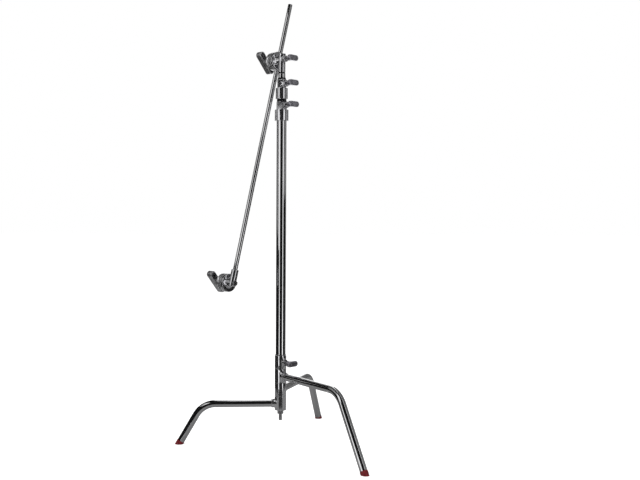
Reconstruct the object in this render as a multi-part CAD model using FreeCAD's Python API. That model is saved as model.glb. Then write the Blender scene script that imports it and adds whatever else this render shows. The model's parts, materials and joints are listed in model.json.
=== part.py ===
import FreeCAD, Part
import math
import os

# C-stand with a turtle base, a three-section column, two grip heads and a grip arm.
# Millimetres, +Z up. Everything is laid out from the column's axis, with the floor at z = 0,
# and at the end it is moved so that the origin is on the floor under the middle of its box.

V = FreeCAD.Vector
Z_AXIS = V(0, 0, 1)

# Clearances
RUNNING_GAP = 0.1       # radial, a shaft or tube that turns or slides in its bore
STATIC_GAP = 0.05       # radial, pieces of one rigid group that are pressed or screwed together
FACE_GAP = 0.3          # between flat faces of pieces that move past each other

# Legs
LEG_RADIUS = 12.7
LEG_WALL = 2.0
LEG_SLOPE = 59.7        # degrees down from level
LEG_BEND_RADIUS = 78.0
LOWEST_LEG_HEIGHT = 140.65
LOWEST_LEG_KNEE = 275.2     # from the column's axis to the corner of the leg
TIER_RISE = 48.6        # each leg is this much higher than the one below
TIER_REACH = 32.1       # and its knee is this much further out, so that folded legs nest
LEG_DIRECTIONS = {"bottom": 183.6, "middle": 68.9, "top": -56.2}
FOOT_WALL = 0.9
FOOT_LENGTH = 14.0
FOOT_SOLE = 5.0

# Base
HUB_RADIUS = 20.5
HUB_BOTTOM = 117.1
POST_RADIUS = 16.5
SPIGOT_RADIUS = 14.3
SPIGOT_LENGTH = 83.0
SOCKET_SPARE_DEPTH = 13.0
LEG_STUB_RADIUS = 15.0
LEG_STUB_REACH = 32.0
LEG_TUBE_START = 18.6
POST_FOOT = 28.0        # the post stops this far above the bottom of the hub
COLLAR_ROUND = 0.8
LEG_STUB_ROUND = 1.5
LEG_PIN_RADIUS = 3.0
LEG_PIN_START = 9.0     # from the column's axis
SPRING_POCKET_RADIUS = 11.6
SPRING_POCKET_DEPTH = 21.0
BASE_SPRING_RADIUS = 9.0
BASE_SPRING_WIRE = 1.25
SPRING_TURNS = 4
BASE_BOLT_RADIUS = 6.0
BASE_BOLT_TIP = 80.5
HEX_ACROSS_FLATS = 19.0
BASE_BOLT_HEAD = 7.5
BASE_NUT_HEIGHT = 11.8
WASHER_THICKNESS = 1.5
WASHER_RADIUS = 12.0

# Column tubes: outer, middle and inner
OUTER_TUBE_RADIUS = 17.5
MIDDLE_TUBE_RADIUS = 15.0
INNER_TUBE_RADIUS = 12.7
TUBE_WALL = 1.5
SPIGOT_RING_RADIUS = 18.8
SPIGOT_RING_HEIGHT = 4.0
PLUG_LENGTH = 28.0
PLUG_ROUND = 1.5
TUBE_SEAT_GAP = 3.0      # a tube stops this far below the neck of its clamp
SPIGOT_GROOVE_BOTTOM = 8.0
SPIGOT_GROOVE_WIDTH = 5.0
SPIGOT_GROOVE_DEPTH = 1.5
SPIGOT_RIDGES = 7
SPIGOT_RIDGE_PITCH = 2.6
SPIGOT_RIDGE_DEPTH = 0.7
LOWER_CLAMP_BOTTOM = 1142.7
LOWER_CLAMP_RADIUS = 24.2
LOWER_CLAMP_BARREL = 39.4
LOWER_CLAMP_NECK = 28.5
LOWER_NECK_RADIUS = 18.4
LOWER_RING_HEIGHT = 9.2
UPPER_CLAMP_RADIUS = 21.4
UPPER_CLAMP_BARREL = 38.7
UPPER_CLAMP_NECK = 30.8
UPPER_NECK_RADIUS = 15.9
UPPER_RING_HEIGHT = 6.0
CLAMP_ROUND = 1.2
CLAMP_PLATE_WIDTH = 19.0
CLAMP_PLATE_RISE = 1.4      # how far the flat pad stands out of the neck
CLAMP_PLATE_DIRECTION = -106.0
CLAMP_SCREW_RADIUS = 3.0
CLAMP_SCREW_HEIGHT = 15.5
CLAMP_SCREW_DIRECTION = -138.0
BUSH_STEP = 2.5             # the bore of a clamp narrows this far below its neck
BUSH_RING_INSET = 1.4
BUSH_WALL = 1.25
BUSH_LENGTH = 27.0
GUIDE_FLANGE = 8.0
GUIDE_PLUG = 20.0
GUIDE_WALL = 3.0
INNER_TUBE_RISE = 20.4      # how far the inner tube stands out of its clamp

# Top stud, which carries the grip head
STUD_RADIUS = 7.9375
STUD_SHOULDER = 1.6
STUD_RING_HEIGHT = 3.0
STUD_RING_RADIUS = 11.8
STUD_LENGTH = 64.0
STUD_GROOVE_FROM_TIP = 16.0
STUD_GROOVE_DEPTH = 1.2
STUD_GROOVE_WIDTH = 4.5
STUD_GROOVE_SLOPE = 1.5

# Locking handles
SCREW_RADIUS = 5.0
BOSS_RADIUS = 11.5
BOSS_ROUND = 1.2
BASE_BOSS_REACH = 26.5      # from the column's axis to the face of each boss
LOWER_BOSS_REACH = 27.4
UPPER_BOSS_REACH = 25.9
HEAD_BOSS_REACH = 20.75
PAD_LENGTH = 3.0
BAR_LENGTH = 48.0
BAR_HEIGHT = 20.0
BAR_THICKNESS = 13.0
BAR_ROUND = 3.4
BAR_PANEL_RIM = 5.0
BAR_PANEL_DEPTH = 1.3
HANDLE_HUB_RADIUS = 8.5
HANDLE_HUB_LENGTH = 15.0
HANDLE_HUB_FLARE = 1.5
HANDLE_STANDOFF = 9.5
HANDLE_DIRECTION = -45.0
HEAD_HANDLE_DIRECTION = -42.0
BASE_HANDLE_HEIGHT = 286.0
LOWER_HANDLE_DROP = 12.2    # below the top of the clamp's neck
UPPER_HANDLE_DROP = 15.5
HEAD_HANDLE_RISE = 2.5     # above the bolt of the grip head
HEX_KEY_RADIUS = 1.7

# Grip heads
HEAD_DIRECTION = 131.0
SLEEVE_RADIUS = 12.75
SLEEVE_BELOW = 44.5         # the sleeve, from the bolt's axis down and up
SLEEVE_ABOVE = 21.5
DISC_RADIUS = 31.75
PLATE_BACK = 17.4
PLATE_THICKNESS = 6.2
PLATE_ROUND = 1.2
PLATE_NECK_FLARE = 6.0
SLEEVE_LIP_HEIGHT = 6.0
SLEEVE_LIP = 1.5
SLEEVE_FLOOR = 3.0          # metal between the stud and the bolt's thread
FRICTION_THICKNESS = 1.5
FRICTION_RADIUS = 29.0
JAW_THICKNESS = 10.5
JAW_ROUND = 1.5
JAW_SPACING = 5.0
GROOVE_FLOOR = 0.8          # below the rod, in each jaw
GRIP_SIDE = -16.4           # from the bolt's axis to the arm's axis
SMALL_GROOVE_RADIUS = 4.76
SMALL_GROOVE_SIDE = 18.0
HEAD_BOLT_RADIUS = 4.9
HEAD_BOLT_TIP = 78.0
HEX_HEAD_ACROSS_FLATS = 16.0
HEX_HEAD_HEIGHT = 6.4
HEX_HEAD_FACE = 11.6        # from the sleeve's axis
HEX_HEAD_SEAT_RADIUS = 9.6
JAW_SPRING_RADIUS = 6.4
JAW_SPRING_WIRE = 0.9
JAW_POCKET_GAP = 0.4
JAW_POCKET_DEPTH = 5.0
JAW_DOME_HEIGHT = 4.5
JAW_DOME_RADIUS = 21.0
BEARING_THICKNESS = 2.5
BEARING_RADIUS = 13.0
KNOB_BAR_CENTRE = 93.0
KNOB_BAR_LENGTH = 92.0
KNOB_BAR_WIDTH = 24.0
KNOB_BAR_THICKNESS = 27.0
KNOB_BAR_ANGLE = 51.0
KNOB_WEB = 8.0              # the outer face of the bar, behind its two pockets
KNOB_WALL = 3.2
KNOB_HUB_RADIUS = 16.5
KNOB_WAIST_RADIUS = 12.5
KNOB_ROUND = 4.5
KNOB_HUB_RIM = 6.0
KNOB_HUB_TAPER = 8.0
KNOB_BORE_SPARE = 1.5

# Grip arm
ARM_RADIUS = 7.9375
ARM_LENGTH = 1016.0
ARM_ABOVE_HEAD = 225.0
ARM_TILT = 14.6
ARM_CHAMFER = 1.0
ARM_MARK_FROM_END = 76.0    # a shallow ring that marks how far a head goes on
ARM_MARK_WIDTH = 2.0
ARM_MARK_DEPTH = 0.35
END_HEAD_BELOW_ARM = 17.0   # from the arm's lower end to the bolt of the end head
END_SLEEVE_TOP = 47.0
END_SLEEVE_BOTTOM = -12.0
ROLL_PIN_RADIUS = 2.5
ROLL_PIN_HEIGHT = 33.0

# Heights that follow from the sizes above
COLLAR_HEIGHT = TIER_RISE
HEAD_BOTTOM = HUB_BOTTOM + 3 * COLLAR_HEIGHT
HUB_TOP = HEAD_BOTTOM + COLLAR_HEIGHT - 0.4
SPIGOT_BOTTOM = HUB_TOP - SPIGOT_LENGTH
SOCKET_FLOOR = SPIGOT_BOTTOM - SOCKET_SPARE_DEPTH
POST_BOTTOM = HUB_BOTTOM + POST_FOOT
OUTER_TUBE_BOTTOM = HUB_TOP + FACE_GAP + SPIGOT_RING_HEIGHT
PLUG_TOP = OUTER_TUBE_BOTTOM + PLUG_LENGTH
MIDDLE_TUBE_BOTTOM = PLUG_TOP + FACE_GAP + GUIDE_FLANGE
INNER_TUBE_BOTTOM = MIDDLE_TUBE_BOTTOM + GUIDE_PLUG + FACE_GAP + GUIDE_FLANGE
LOWER_NECK_BOTTOM = LOWER_CLAMP_BOTTOM + LOWER_CLAMP_BARREL
LOWER_NECK_TOP = LOWER_NECK_BOTTOM + LOWER_CLAMP_NECK
UPPER_CLAMP_BOTTOM = LOWER_NECK_TOP + LOWER_RING_HEIGHT + FACE_GAP
UPPER_NECK_BOTTOM = UPPER_CLAMP_BOTTOM + UPPER_CLAMP_BARREL
UPPER_NECK_TOP = UPPER_NECK_BOTTOM + UPPER_CLAMP_NECK
INNER_TUBE_TOP = UPPER_NECK_TOP + INNER_TUBE_RISE
STUD_RING_BOTTOM = INNER_TUBE_TOP + STUD_SHOULDER
SLEEVE_BOTTOM = STUD_RING_BOTTOM + STUD_RING_HEIGHT + FACE_GAP
HEAD_HEIGHT = SLEEVE_BOTTOM + SLEEVE_BELOW
LOWER_HANDLE_HEIGHT = LOWER_NECK_TOP - LOWER_HANDLE_DROP
UPPER_HANDLE_HEIGHT = UPPER_NECK_TOP - UPPER_HANDLE_DROP

# Distances along a grip head's bolt, from the axis of its sleeve
PLATE_FACE = PLATE_BACK + PLATE_THICKNESS
INNER_JAW_BACK = PLATE_FACE + FRICTION_THICKNESS + FACE_GAP
INNER_JAW_FACE = INNER_JAW_BACK + JAW_THICKNESS
GRIP_CENTRE = INNER_JAW_FACE + JAW_SPACING / 2
OUTER_JAW_FACE = INNER_JAW_FACE + JAW_SPACING
OUTER_JAW_BACK = OUTER_JAW_FACE + JAW_THICKNESS + JAW_DOME_HEIGHT
BEARING_FACE = OUTER_JAW_BACK + BEARING_THICKNESS
KNOB_FOOT = BEARING_FACE + FACE_GAP
KNOB_BAR_BACK = KNOB_BAR_CENTRE - KNOB_BAR_THICKNESS / 2


def cylinder(radius, start, direction, length):
    return Part.makeCylinder(radius, length, start, direction)


def upright(radius, bottom, top):
    return Part.makeCylinder(radius, top - bottom, V(0, 0, bottom), Z_AXIS)


def pipe(outer_radius, inner_radius, bottom, top):
    return upright(outer_radius, bottom, top).cut(upright(inner_radius, bottom - 1, top + 1))


def along_x(radius, start, end):
    return Part.makeCylinder(radius, end - start, V(start, 0, 0), V(1, 0, 0))


def heading(degrees):
    """The level direction at this many degrees from +X."""
    return V(math.cos(math.radians(degrees)), math.sin(math.radians(degrees)), 0)


def revolved(outline):
    """A solid of revolution about Z from (radius, height) corners."""
    corners = [V(radius, 0, height) for radius, height in outline]
    face = Part.Face(Part.makePolygon(corners + corners[:1]))
    return face.revolve(V(0, 0, 0), Z_AXIS, 360)


def placed(shape, placement):
    moved = shape.copy()
    moved.Placement = placement.multiply(moved.Placement)
    return moved


def turned(degrees, height=0.0):
    """A placement that turns +X to this heading and lifts to this height."""
    return FreeCAD.Placement(V(0, 0, height), FreeCAD.Rotation(Z_AXIS, degrees))


def turned_about_x(degrees):
    return FreeCAD.Placement(V(0, 0, 0), FreeCAD.Rotation(V(1, 0, 0), degrees))


def rounded(shape, radius, chosen):
    """Fillet the edges for which chosen(edge) is true."""
    edges = [edge for edge in shape.Edges if chosen(edge)]
    return shape.makeFillet(radius, edges) if edges else shape


def circle_at(radius, height):
    """A test for circular edges of this radius, level, at this height."""
    def test(edge):
        if not any_circle(edge):
            return False
        curve = edge.Curve
        level = abs(curve.Axis.z) > 0.999
        return level and abs(curve.Radius - radius) < 0.01 and abs(curve.Center.z - height) < 0.01
    return test


def any_circle(edge):
    return isinstance(edge.Curve, Part.Circle)


def circle_around(centre):
    """A test for circular edges about this point."""
    def test(edge):
        return any_circle(edge) and edge.Curve.Center.distanceToPoint(centre) < 0.01
    return test


def circle_at_x(x):
    """A test for circular edges at this distance along X."""
    def test(edge):
        return any_circle(edge) and abs(edge.Curve.Center.x - x) < 0.01
    return test


def hexagon(across_flats, bottom, height):
    corner_radius = across_flats / math.sqrt(3)
    corners = [heading(60 * i) * corner_radius + V(0, 0, bottom) for i in range(6)]
    prism = Part.Face(Part.makePolygon(corners + corners[:1])).extrude(V(0, 0, height))
    chamfer = Part.makeCone(corner_radius + height, corner_radius * 0.9, height + corner_radius * 0.1,
                            V(0, 0, bottom), Z_AXIS)
    return prism.common(chamfer)


def coil_spring(coil_radius, wire_radius, bottom, top, turns):
    """A round-wire spring whose outer faces lie at bottom and top."""
    height = top - bottom - 2 * wire_radius
    helix = Part.makeHelix(height / turns, height, coil_radius)
    section = Part.Wire(Part.makeCircle(wire_radius, V(coil_radius, 0, 0), V(0, 1, 0)))
    spring = Part.Wire(helix).makePipeShell([section], True, True)
    spring.translate(V(0, 0, bottom + wire_radius))
    return spring


# ---------------------------------------------------------------- legs

def tier(name):
    """0 for the bottom leg, 1 for the middle one and 2 for the top one."""
    return ["bottom", "middle", "top"].index(name)


def leg_height(name):
    return LOWEST_LEG_HEIGHT + tier(name) * TIER_RISE


def leg_foot_reach(name):
    """From the column's axis to where the middle of the leg meets the floor."""
    knee = LOWEST_LEG_KNEE + tier(name) * TIER_REACH
    return knee + leg_height(name) / math.tan(math.radians(LEG_SLOPE))


def leg_path(name):
    """The middle line of a leg that points along +X: level, a bend, and down past the floor."""
    height = leg_height(name)
    knee = LOWEST_LEG_KNEE + tier(name) * TIER_REACH
    slope = math.radians(LEG_SLOPE)
    trim = LEG_BEND_RADIUS * math.tan(slope / 2)
    down = V(math.cos(slope), 0, -math.sin(slope))
    corner = V(knee, 0, height)
    bend_start = corner - V(trim, 0, 0)
    bend_end = corner + down * trim
    centre = bend_start - V(0, 0, LEG_BEND_RADIUS)
    half = slope / 2
    bend_middle = centre + V(math.sin(half), 0, math.cos(half)) * LEG_BEND_RADIUS
    end = V(leg_foot_reach(name), 0, 0) + down * (2 * LEG_RADIUS)
    return Part.Wire([
        Part.LineSegment(V(LEG_TUBE_START, 0, height), bend_start).toShape(),
        Part.Arc(bend_start, bend_middle, bend_end).toShape(),
        Part.LineSegment(bend_end, end).toShape(),
    ])


def swept_leg(name, radius):
    section = Part.Wire(Part.makeCircle(radius, V(LEG_TUBE_START, 0, leg_height(name)), V(1, 0, 0)))
    return leg_path(name).makePipeShell([section], True, False)


def block_below(height):
    size = 4 * LOWEST_LEG_KNEE
    return Part.makeBox(size, size, size, V(-size / 2, -size / 2, height - size))


def leg_tube(name):
    tube = swept_leg(name, LEG_RADIUS).cut(swept_leg(name, LEG_RADIUS - LEG_WALL))
    return placed(tube.cut(block_below(FOOT_SOLE)), turned(LEG_DIRECTIONS[name]))


def foot(name):
    slope = math.radians(LEG_SLOPE)
    down = V(math.cos(slope), 0, -math.sin(slope))
    middle = V(leg_foot_reach(name), 0, 0)
    cap_radius = LEG_RADIUS + FOOT_WALL
    cap = cylinder(cap_radius, middle - down * FOOT_LENGTH, down, FOOT_LENGTH + 2 * cap_radius)
    cap = rounded(cap, FOOT_WALL * 0.6, circle_around(middle - down * FOOT_LENGTH))
    cap = cap.cut(block_below(0))
    socket = cylinder(LEG_RADIUS + STATIC_GAP, middle - down * 3 * FOOT_LENGTH, down, 5 * FOOT_LENGTH)
    cap = cap.cut(socket.cut(block_below(FOOT_SOLE)))
    return placed(cap, turned(LEG_DIRECTIONS[name]))


# ---------------------------------------------------------------- base

def collar_bottom(name):
    return HUB_BOTTOM + tier(name) * COLLAR_HEIGHT


def leg_stub(name):
    """The socket on a collar that holds the inner end of its leg."""
    stub = cylinder(LEG_STUB_RADIUS, V(0, 0, leg_height(name)), V(1, 0, 0), LEG_STUB_REACH)
    reach = V(LEG_STUB_REACH, 0, leg_height(name))
    return rounded(stub, LEG_STUB_ROUND, circle_around(reach))


def stub_bore(name):
    return cylinder(LEG_RADIUS + STATIC_GAP, V(LEG_TUBE_START, 0, leg_height(name)), V(1, 0, 0),
                    LEG_STUB_REACH)


def collar_shell(name):
    bottom = collar_bottom(name)
    top = bottom + COLLAR_HEIGHT - FACE_GAP
    body = upright(HUB_RADIUS, bottom, top)
    body = rounded(body, COLLAR_ROUND, any_circle)
    return body.fuse(leg_stub(name)).cut(stub_bore(name)), bottom, top


def leg_collar(name):
    """The top and the middle collar have a plain bore for the post."""
    gap = STATIC_GAP if name == "middle" else RUNNING_GAP
    body, bottom, top = collar_shell(name)
    body = body.cut(upright(POST_RADIUS + gap, bottom - 1, top + 1))
    body = placed(body, turned(LEG_DIRECTIONS[name]))
    return body.cut(collar_pin_hole()) if name == "middle" else body


def bottom_collar():
    """The bottom collar turns on the foot of the post and has a pocket for the spring."""
    body, bottom, top = collar_shell("bottom")
    body = body.cut(upright(POST_RADIUS + RUNNING_GAP, POST_BOTTOM - FACE_GAP, top + 1))
    body = body.cut(upright(SPRING_POCKET_RADIUS, bottom - 1, bottom + SPRING_POCKET_DEPTH))
    body = body.cut(upright(BASE_BOLT_RADIUS + FACE_GAP, bottom - 1, top))
    return placed(body, turned(LEG_DIRECTIONS["bottom"]))


def collar_pin_axis():
    """The pin of the middle collar comes in opposite the leg."""
    return heading(LEG_DIRECTIONS["middle"] + 180), collar_bottom("middle") + COLLAR_HEIGHT / 2


def collar_pin_hole():
    direction, height = collar_pin_axis()
    return cylinder(LEG_PIN_RADIUS + STATIC_GAP, direction * LEG_PIN_START + V(0, 0, height), direction,
                    HUB_RADIUS)


def collar_pin():
    direction, height = collar_pin_axis()
    length = HUB_RADIUS - LEG_PIN_START - 2 * FACE_GAP
    return cylinder(LEG_PIN_RADIUS, direction * LEG_PIN_START + V(0, 0, height), direction, length)


def base_socket():
    """The head of the hub with the post that the collars sit on."""
    head = upright(HUB_RADIUS, HEAD_BOTTOM, HUB_TOP)
    head = rounded(head, COLLAR_ROUND, circle_at(HUB_RADIUS, HUB_TOP))
    body = head.fuse(upright(POST_RADIUS, POST_BOTTOM, HEAD_BOTTOM + 1))
    body = body.fuse(handle_boss(BASE_BOSS_REACH, HANDLE_DIRECTION, BASE_HANDLE_HEIGHT))
    body = body.cut(upright(SPIGOT_RADIUS + RUNNING_GAP, SOCKET_FLOOR, HUB_TOP + 1))
    body = body.cut(upright(BASE_BOLT_RADIUS + STATIC_GAP, POST_BOTTOM - 1, SOCKET_FLOOR + 1))
    body = body.cut(collar_pin_hole())
    return body.cut(handle_hole(SPIGOT_RADIUS, HANDLE_DIRECTION, BASE_HANDLE_HEIGHT))


def base_bolt():
    shank = upright(BASE_BOLT_RADIUS, BASE_BOLT_TIP, SOCKET_FLOOR + 1)
    tip = circle_at(BASE_BOLT_RADIUS, BASE_BOLT_TIP)
    shank = shank.makeChamfer(1.0, [edge for edge in shank.Edges if tip(edge)])
    return shank.fuse(hexagon(HEX_ACROSS_FLATS, SOCKET_FLOOR, BASE_BOLT_HEAD))


def base_washer():
    top = HUB_BOTTOM - FACE_GAP
    return pipe(WASHER_RADIUS, BASE_BOLT_RADIUS + STATIC_GAP, top - WASHER_THICKNESS, top)


def base_nut():
    top = HUB_BOTTOM - FACE_GAP - WASHER_THICKNESS
    nut = hexagon(HEX_ACROSS_FLATS, top - BASE_NUT_HEIGHT, BASE_NUT_HEIGHT)
    return nut.cut(upright(BASE_BOLT_RADIUS + STATIC_GAP, top - BASE_NUT_HEIGHT - 1, top + 1))


def base_spring():
    """The spring in the pocket of the bottom collar, standing on the washer."""
    top = HUB_BOTTOM + SPRING_POCKET_DEPTH - FACE_GAP
    return coil_spring(BASE_SPRING_RADIUS, BASE_SPRING_WIRE, HUB_BOTTOM - FACE_GAP, top, SPRING_TURNS)


# ---------------------------------------------------------------- column

def column_spigot():
    """The solid end of the column: a pin for the base, a ridged band, a ring and a plug."""
    r = SPIGOT_RADIUS
    edge = COLLAR_ROUND
    ring = SPIGOT_RING_RADIUS
    ring_bottom = HUB_TOP + FACE_GAP
    plug = OUTER_TUBE_RADIUS - TUBE_WALL - STATIC_GAP
    outline = [(0, SPIGOT_BOTTOM), (r - 2 * edge, SPIGOT_BOTTOM), (r, SPIGOT_BOTTOM + 2 * edge)]
    outline += spigot_groove()
    outline += spigot_ridges(ring_bottom - 1)
    outline += [(r, ring_bottom), (ring - edge, ring_bottom), (ring, ring_bottom + edge),
                (ring, OUTER_TUBE_BOTTOM - edge), (ring - edge, OUTER_TUBE_BOTTOM),
                (plug, OUTER_TUBE_BOTTOM), (plug, PLUG_TOP - PLUG_ROUND), (plug - PLUG_ROUND, PLUG_TOP),
                (0, PLUG_TOP)]
    return revolved(outline)


def spigot_groove():
    """The corners of the groove that the base's screw drops into."""
    bottom = SPIGOT_BOTTOM + SPIGOT_GROOVE_BOTTOM
    top = bottom + SPIGOT_GROOVE_WIDTH
    floor = SPIGOT_RADIUS - SPIGOT_GROOVE_DEPTH
    return [(SPIGOT_RADIUS, bottom), (floor, bottom + SPIGOT_GROOVE_DEPTH), (floor, top),
            (SPIGOT_RADIUS, top + SPIGOT_GROOVE_DEPTH)]


def spigot_ridges(top):
    """The corners of the fine ridges below the ring."""
    pitch = SPIGOT_RIDGE_PITCH
    floor = SPIGOT_RADIUS - SPIGOT_RIDGE_DEPTH
    corners = []
    for i in range(SPIGOT_RIDGES):
        start = top - (SPIGOT_RIDGES - i) * pitch
        corners += [(SPIGOT_RADIUS, start), (floor, start + 0.35 * pitch), (floor, start + 0.65 * pitch)]
    return corners + [(SPIGOT_RADIUS, top)]


def guide_bush(tube_radius, around_radius, tube_bottom):
    """The nylon shoe in the lower end of a sliding tube, which runs inside the tube around it."""
    flange = around_radius - TUBE_WALL - RUNNING_GAP
    plug = tube_radius - TUBE_WALL - STATIC_GAP
    bush = upright(flange, tube_bottom - GUIDE_FLANGE, tube_bottom)
    bush = bush.fuse(upright(plug, tube_bottom, tube_bottom + GUIDE_PLUG))
    return bush.cut(upright(plug - GUIDE_WALL, tube_bottom - GUIDE_FLANGE - 1, tube_bottom + GUIDE_PLUG + 1))


def top_bush(tube_radius, neck_top, ring_height, ring_radius):
    """The black nylon sleeve in a clamp's neck, with its ring standing on top."""
    outer = tube_radius + RUNNING_GAP + BUSH_WALL
    bush = upright(outer, neck_top - BUSH_LENGTH, neck_top)
    ring = upright(ring_radius, neck_top, neck_top + ring_height)
    ring = rounded(ring, 1.0, circle_at(ring_radius, neck_top + ring_height))
    return bush.fuse(ring).cut(upright(tube_radius + RUNNING_GAP, neck_top - BUSH_LENGTH - 1,
                                       neck_top + ring_height + 1))


def clamp_casting(barrel_radius, neck_radius, outer_radius, inner_radius, bottom, neck_bottom, neck_top):
    """The cast clamp on top of a tube: a barrel that grips the tube below and a neck for the bush."""
    barrel = upright(barrel_radius, bottom, neck_bottom)
    barrel = rounded(barrel, CLAMP_ROUND, any_circle)
    body = barrel.fuse(upright(neck_radius, neck_bottom - 2, neck_top))
    body = body.fuse(clamp_plate(neck_radius, neck_bottom, neck_top))
    seat_top = neck_bottom - BUSH_STEP
    bush_bore = inner_radius + RUNNING_GAP + BUSH_WALL + STATIC_GAP
    body = body.cut(upright(outer_radius + STATIC_GAP, bottom - 1, seat_top))
    return body.cut(upright(bush_bore, seat_top - 1, neck_top + 1))


def clamp_plate(neck_radius, neck_bottom, neck_top):
    """The flat bare pad cast on the front of a neck."""
    def on_the_face(edge):
        return edge.CenterOfMass.x > neck_radius

    pad = Part.makeBox(neck_radius + CLAMP_PLATE_RISE, CLAMP_PLATE_WIDTH, neck_top - neck_bottom - 3.0,
                       V(0, -CLAMP_PLATE_WIDTH / 2, neck_bottom + 1.0))
    return placed(rounded(pad, 1.0, on_the_face), turned(CLAMP_PLATE_DIRECTION))


def clamp_screw_hole(tube_radius, barrel_radius, bottom):
    hole = along_x(CLAMP_SCREW_RADIUS + STATIC_GAP, tube_radius, tube_radius + barrel_radius)
    return placed(hole, turned(CLAMP_SCREW_DIRECTION, bottom + CLAMP_SCREW_HEIGHT))


def clamp_screw(tube_radius, barrel_radius, bottom):
    """The grub screw that holds a clamp on its tube."""
    end = barrel_radius - 2 * FACE_GAP
    screw = along_x(CLAMP_SCREW_RADIUS, tube_radius + STATIC_GAP, end)
    screw = screw.cut(along_x(HEX_KEY_RADIUS, end - HEX_KEY_RADIUS, end + 1))
    return placed(screw, turned(CLAMP_SCREW_DIRECTION, bottom + CLAMP_SCREW_HEIGHT))


def lower_clamp():
    body = clamp_casting(LOWER_CLAMP_RADIUS, LOWER_NECK_RADIUS, OUTER_TUBE_RADIUS, MIDDLE_TUBE_RADIUS,
                         LOWER_CLAMP_BOTTOM, LOWER_NECK_BOTTOM, LOWER_NECK_TOP)
    body = body.fuse(bored_boss(LOWER_BOSS_REACH, MIDDLE_TUBE_RADIUS, HANDLE_DIRECTION,
                                LOWER_HANDLE_HEIGHT))
    body = body.cut(handle_hole(MIDDLE_TUBE_RADIUS, HANDLE_DIRECTION, LOWER_HANDLE_HEIGHT))
    return body.cut(clamp_screw_hole(OUTER_TUBE_RADIUS, LOWER_CLAMP_RADIUS, LOWER_CLAMP_BOTTOM))


def upper_clamp():
    body = clamp_casting(UPPER_CLAMP_RADIUS, UPPER_NECK_RADIUS, MIDDLE_TUBE_RADIUS, INNER_TUBE_RADIUS,
                         UPPER_CLAMP_BOTTOM, UPPER_NECK_BOTTOM, UPPER_NECK_TOP)
    body = body.fuse(bored_boss(UPPER_BOSS_REACH, INNER_TUBE_RADIUS, HANDLE_DIRECTION,
                                UPPER_HANDLE_HEIGHT))
    body = body.cut(handle_hole(INNER_TUBE_RADIUS, HANDLE_DIRECTION, UPPER_HANDLE_HEIGHT))
    return body.cut(clamp_screw_hole(MIDDLE_TUBE_RADIUS, UPPER_CLAMP_RADIUS, UPPER_CLAMP_BOTTOM))


def drilled_bush(tube_radius, neck_top, ring_height, ring_radius, handle_height):
    bush = top_bush(tube_radius, neck_top, ring_height, ring_radius)
    return bush.cut(handle_hole(tube_radius, HANDLE_DIRECTION, handle_height))


def top_stud():
    """The stud on top of the inner tube: a plug, a shoulder and a pin with a waist for the screw."""
    r = STUD_RADIUS
    plug = INNER_TUBE_RADIUS - TUBE_WALL - STATIC_GAP
    plug_bottom = INNER_TUBE_TOP - PLUG_LENGTH
    shoulder_top = INNER_TUBE_TOP + STUD_SHOULDER
    tip = SLEEVE_BOTTOM + STUD_LENGTH
    waist = r - STUD_GROOVE_DEPTH
    waist_bottom = tip - STUD_GROOVE_FROM_TIP + STUD_GROOVE_SLOPE
    waist_top = waist_bottom + STUD_GROOVE_WIDTH
    return revolved([
        (0, plug_bottom), (plug - 1, plug_bottom), (plug, plug_bottom + 1), (plug, INNER_TUBE_TOP),
        (INNER_TUBE_RADIUS, INNER_TUBE_TOP), (INNER_TUBE_RADIUS, shoulder_top - 0.5),
        (INNER_TUBE_RADIUS - 0.5, shoulder_top), (r, shoulder_top),
        (r, waist_bottom - STUD_GROOVE_SLOPE), (waist, waist_bottom), (waist, waist_top),
        (r, waist_top + STUD_GROOVE_SLOPE), (r, tip - 1.2), (r - 1.2, tip), (0, tip)])


def stud_ring():
    ring = upright(STUD_RING_RADIUS, STUD_RING_BOTTOM, STUD_RING_BOTTOM + STUD_RING_HEIGHT)
    ring = rounded(ring, COLLAR_ROUND, any_circle)
    return ring.cut(upright(STUD_RADIUS + STATIC_GAP, STUD_RING_BOTTOM - 1, SLEEVE_BOTTOM + 1))


# ---------------------------------------------------------------- locking handles

def handle_boss(reach, direction, height):
    """The round boss that a locking screw goes through."""
    boss = rounded(along_x(BOSS_RADIUS, 0, reach), BOSS_ROUND, circle_at_x(reach))
    return placed(boss, turned(direction, height))


def bored_boss(reach, tube_radius, direction, height):
    """A handle boss that leaves the bore of its clamp free."""
    bore = tube_radius + RUNNING_GAP + BUSH_WALL + STATIC_GAP
    return handle_boss(reach, direction, height).cut(upright(bore, height - 2 * BOSS_RADIUS,
                                                             height + 2 * BOSS_RADIUS))


def handle_hole(clamped_radius, direction, height):
    hole = along_x(SCREW_RADIUS + RUNNING_GAP, clamped_radius - 2, clamped_radius + 40)
    return placed(hole, turned(direction, height))


def pad(clamped_radius):
    """The brass pad that a locking screw presses on the tube."""
    start = clamped_radius + FACE_GAP
    return along_x(SCREW_RADIUS - STATIC_GAP, start, start + PAD_LENGTH)


def screw(clamped_radius, boss_reach):
    start = clamped_radius + 2 * FACE_GAP + PAD_LENGTH
    end = boss_reach + HANDLE_STANDOFF + HANDLE_HUB_LENGTH
    body = along_x(SCREW_RADIUS - STATIC_GAP, start, end)
    return body.makeChamfer(0.6, body.Edges)


def oval(length, height, x, thickness):
    """A flat oval bar across the end of the shaft, with round ends."""
    half = (length - height) / 2
    r = height / 2
    ends = [V(x, -half, -r), V(x, half, -r), V(x, half + r, 0), V(x, half, r), V(x, -half, r),
            V(x, -half - r, 0)]
    outline = Part.Wire([
        Part.LineSegment(ends[0], ends[1]).toShape(),
        Part.Arc(ends[1], ends[2], ends[3]).toShape(),
        Part.LineSegment(ends[3], ends[4]).toShape(),
        Part.Arc(ends[4], ends[5], ends[0]).toShape(),
    ])
    return Part.Face(outline).extrude(V(thickness, 0, 0))


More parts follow.
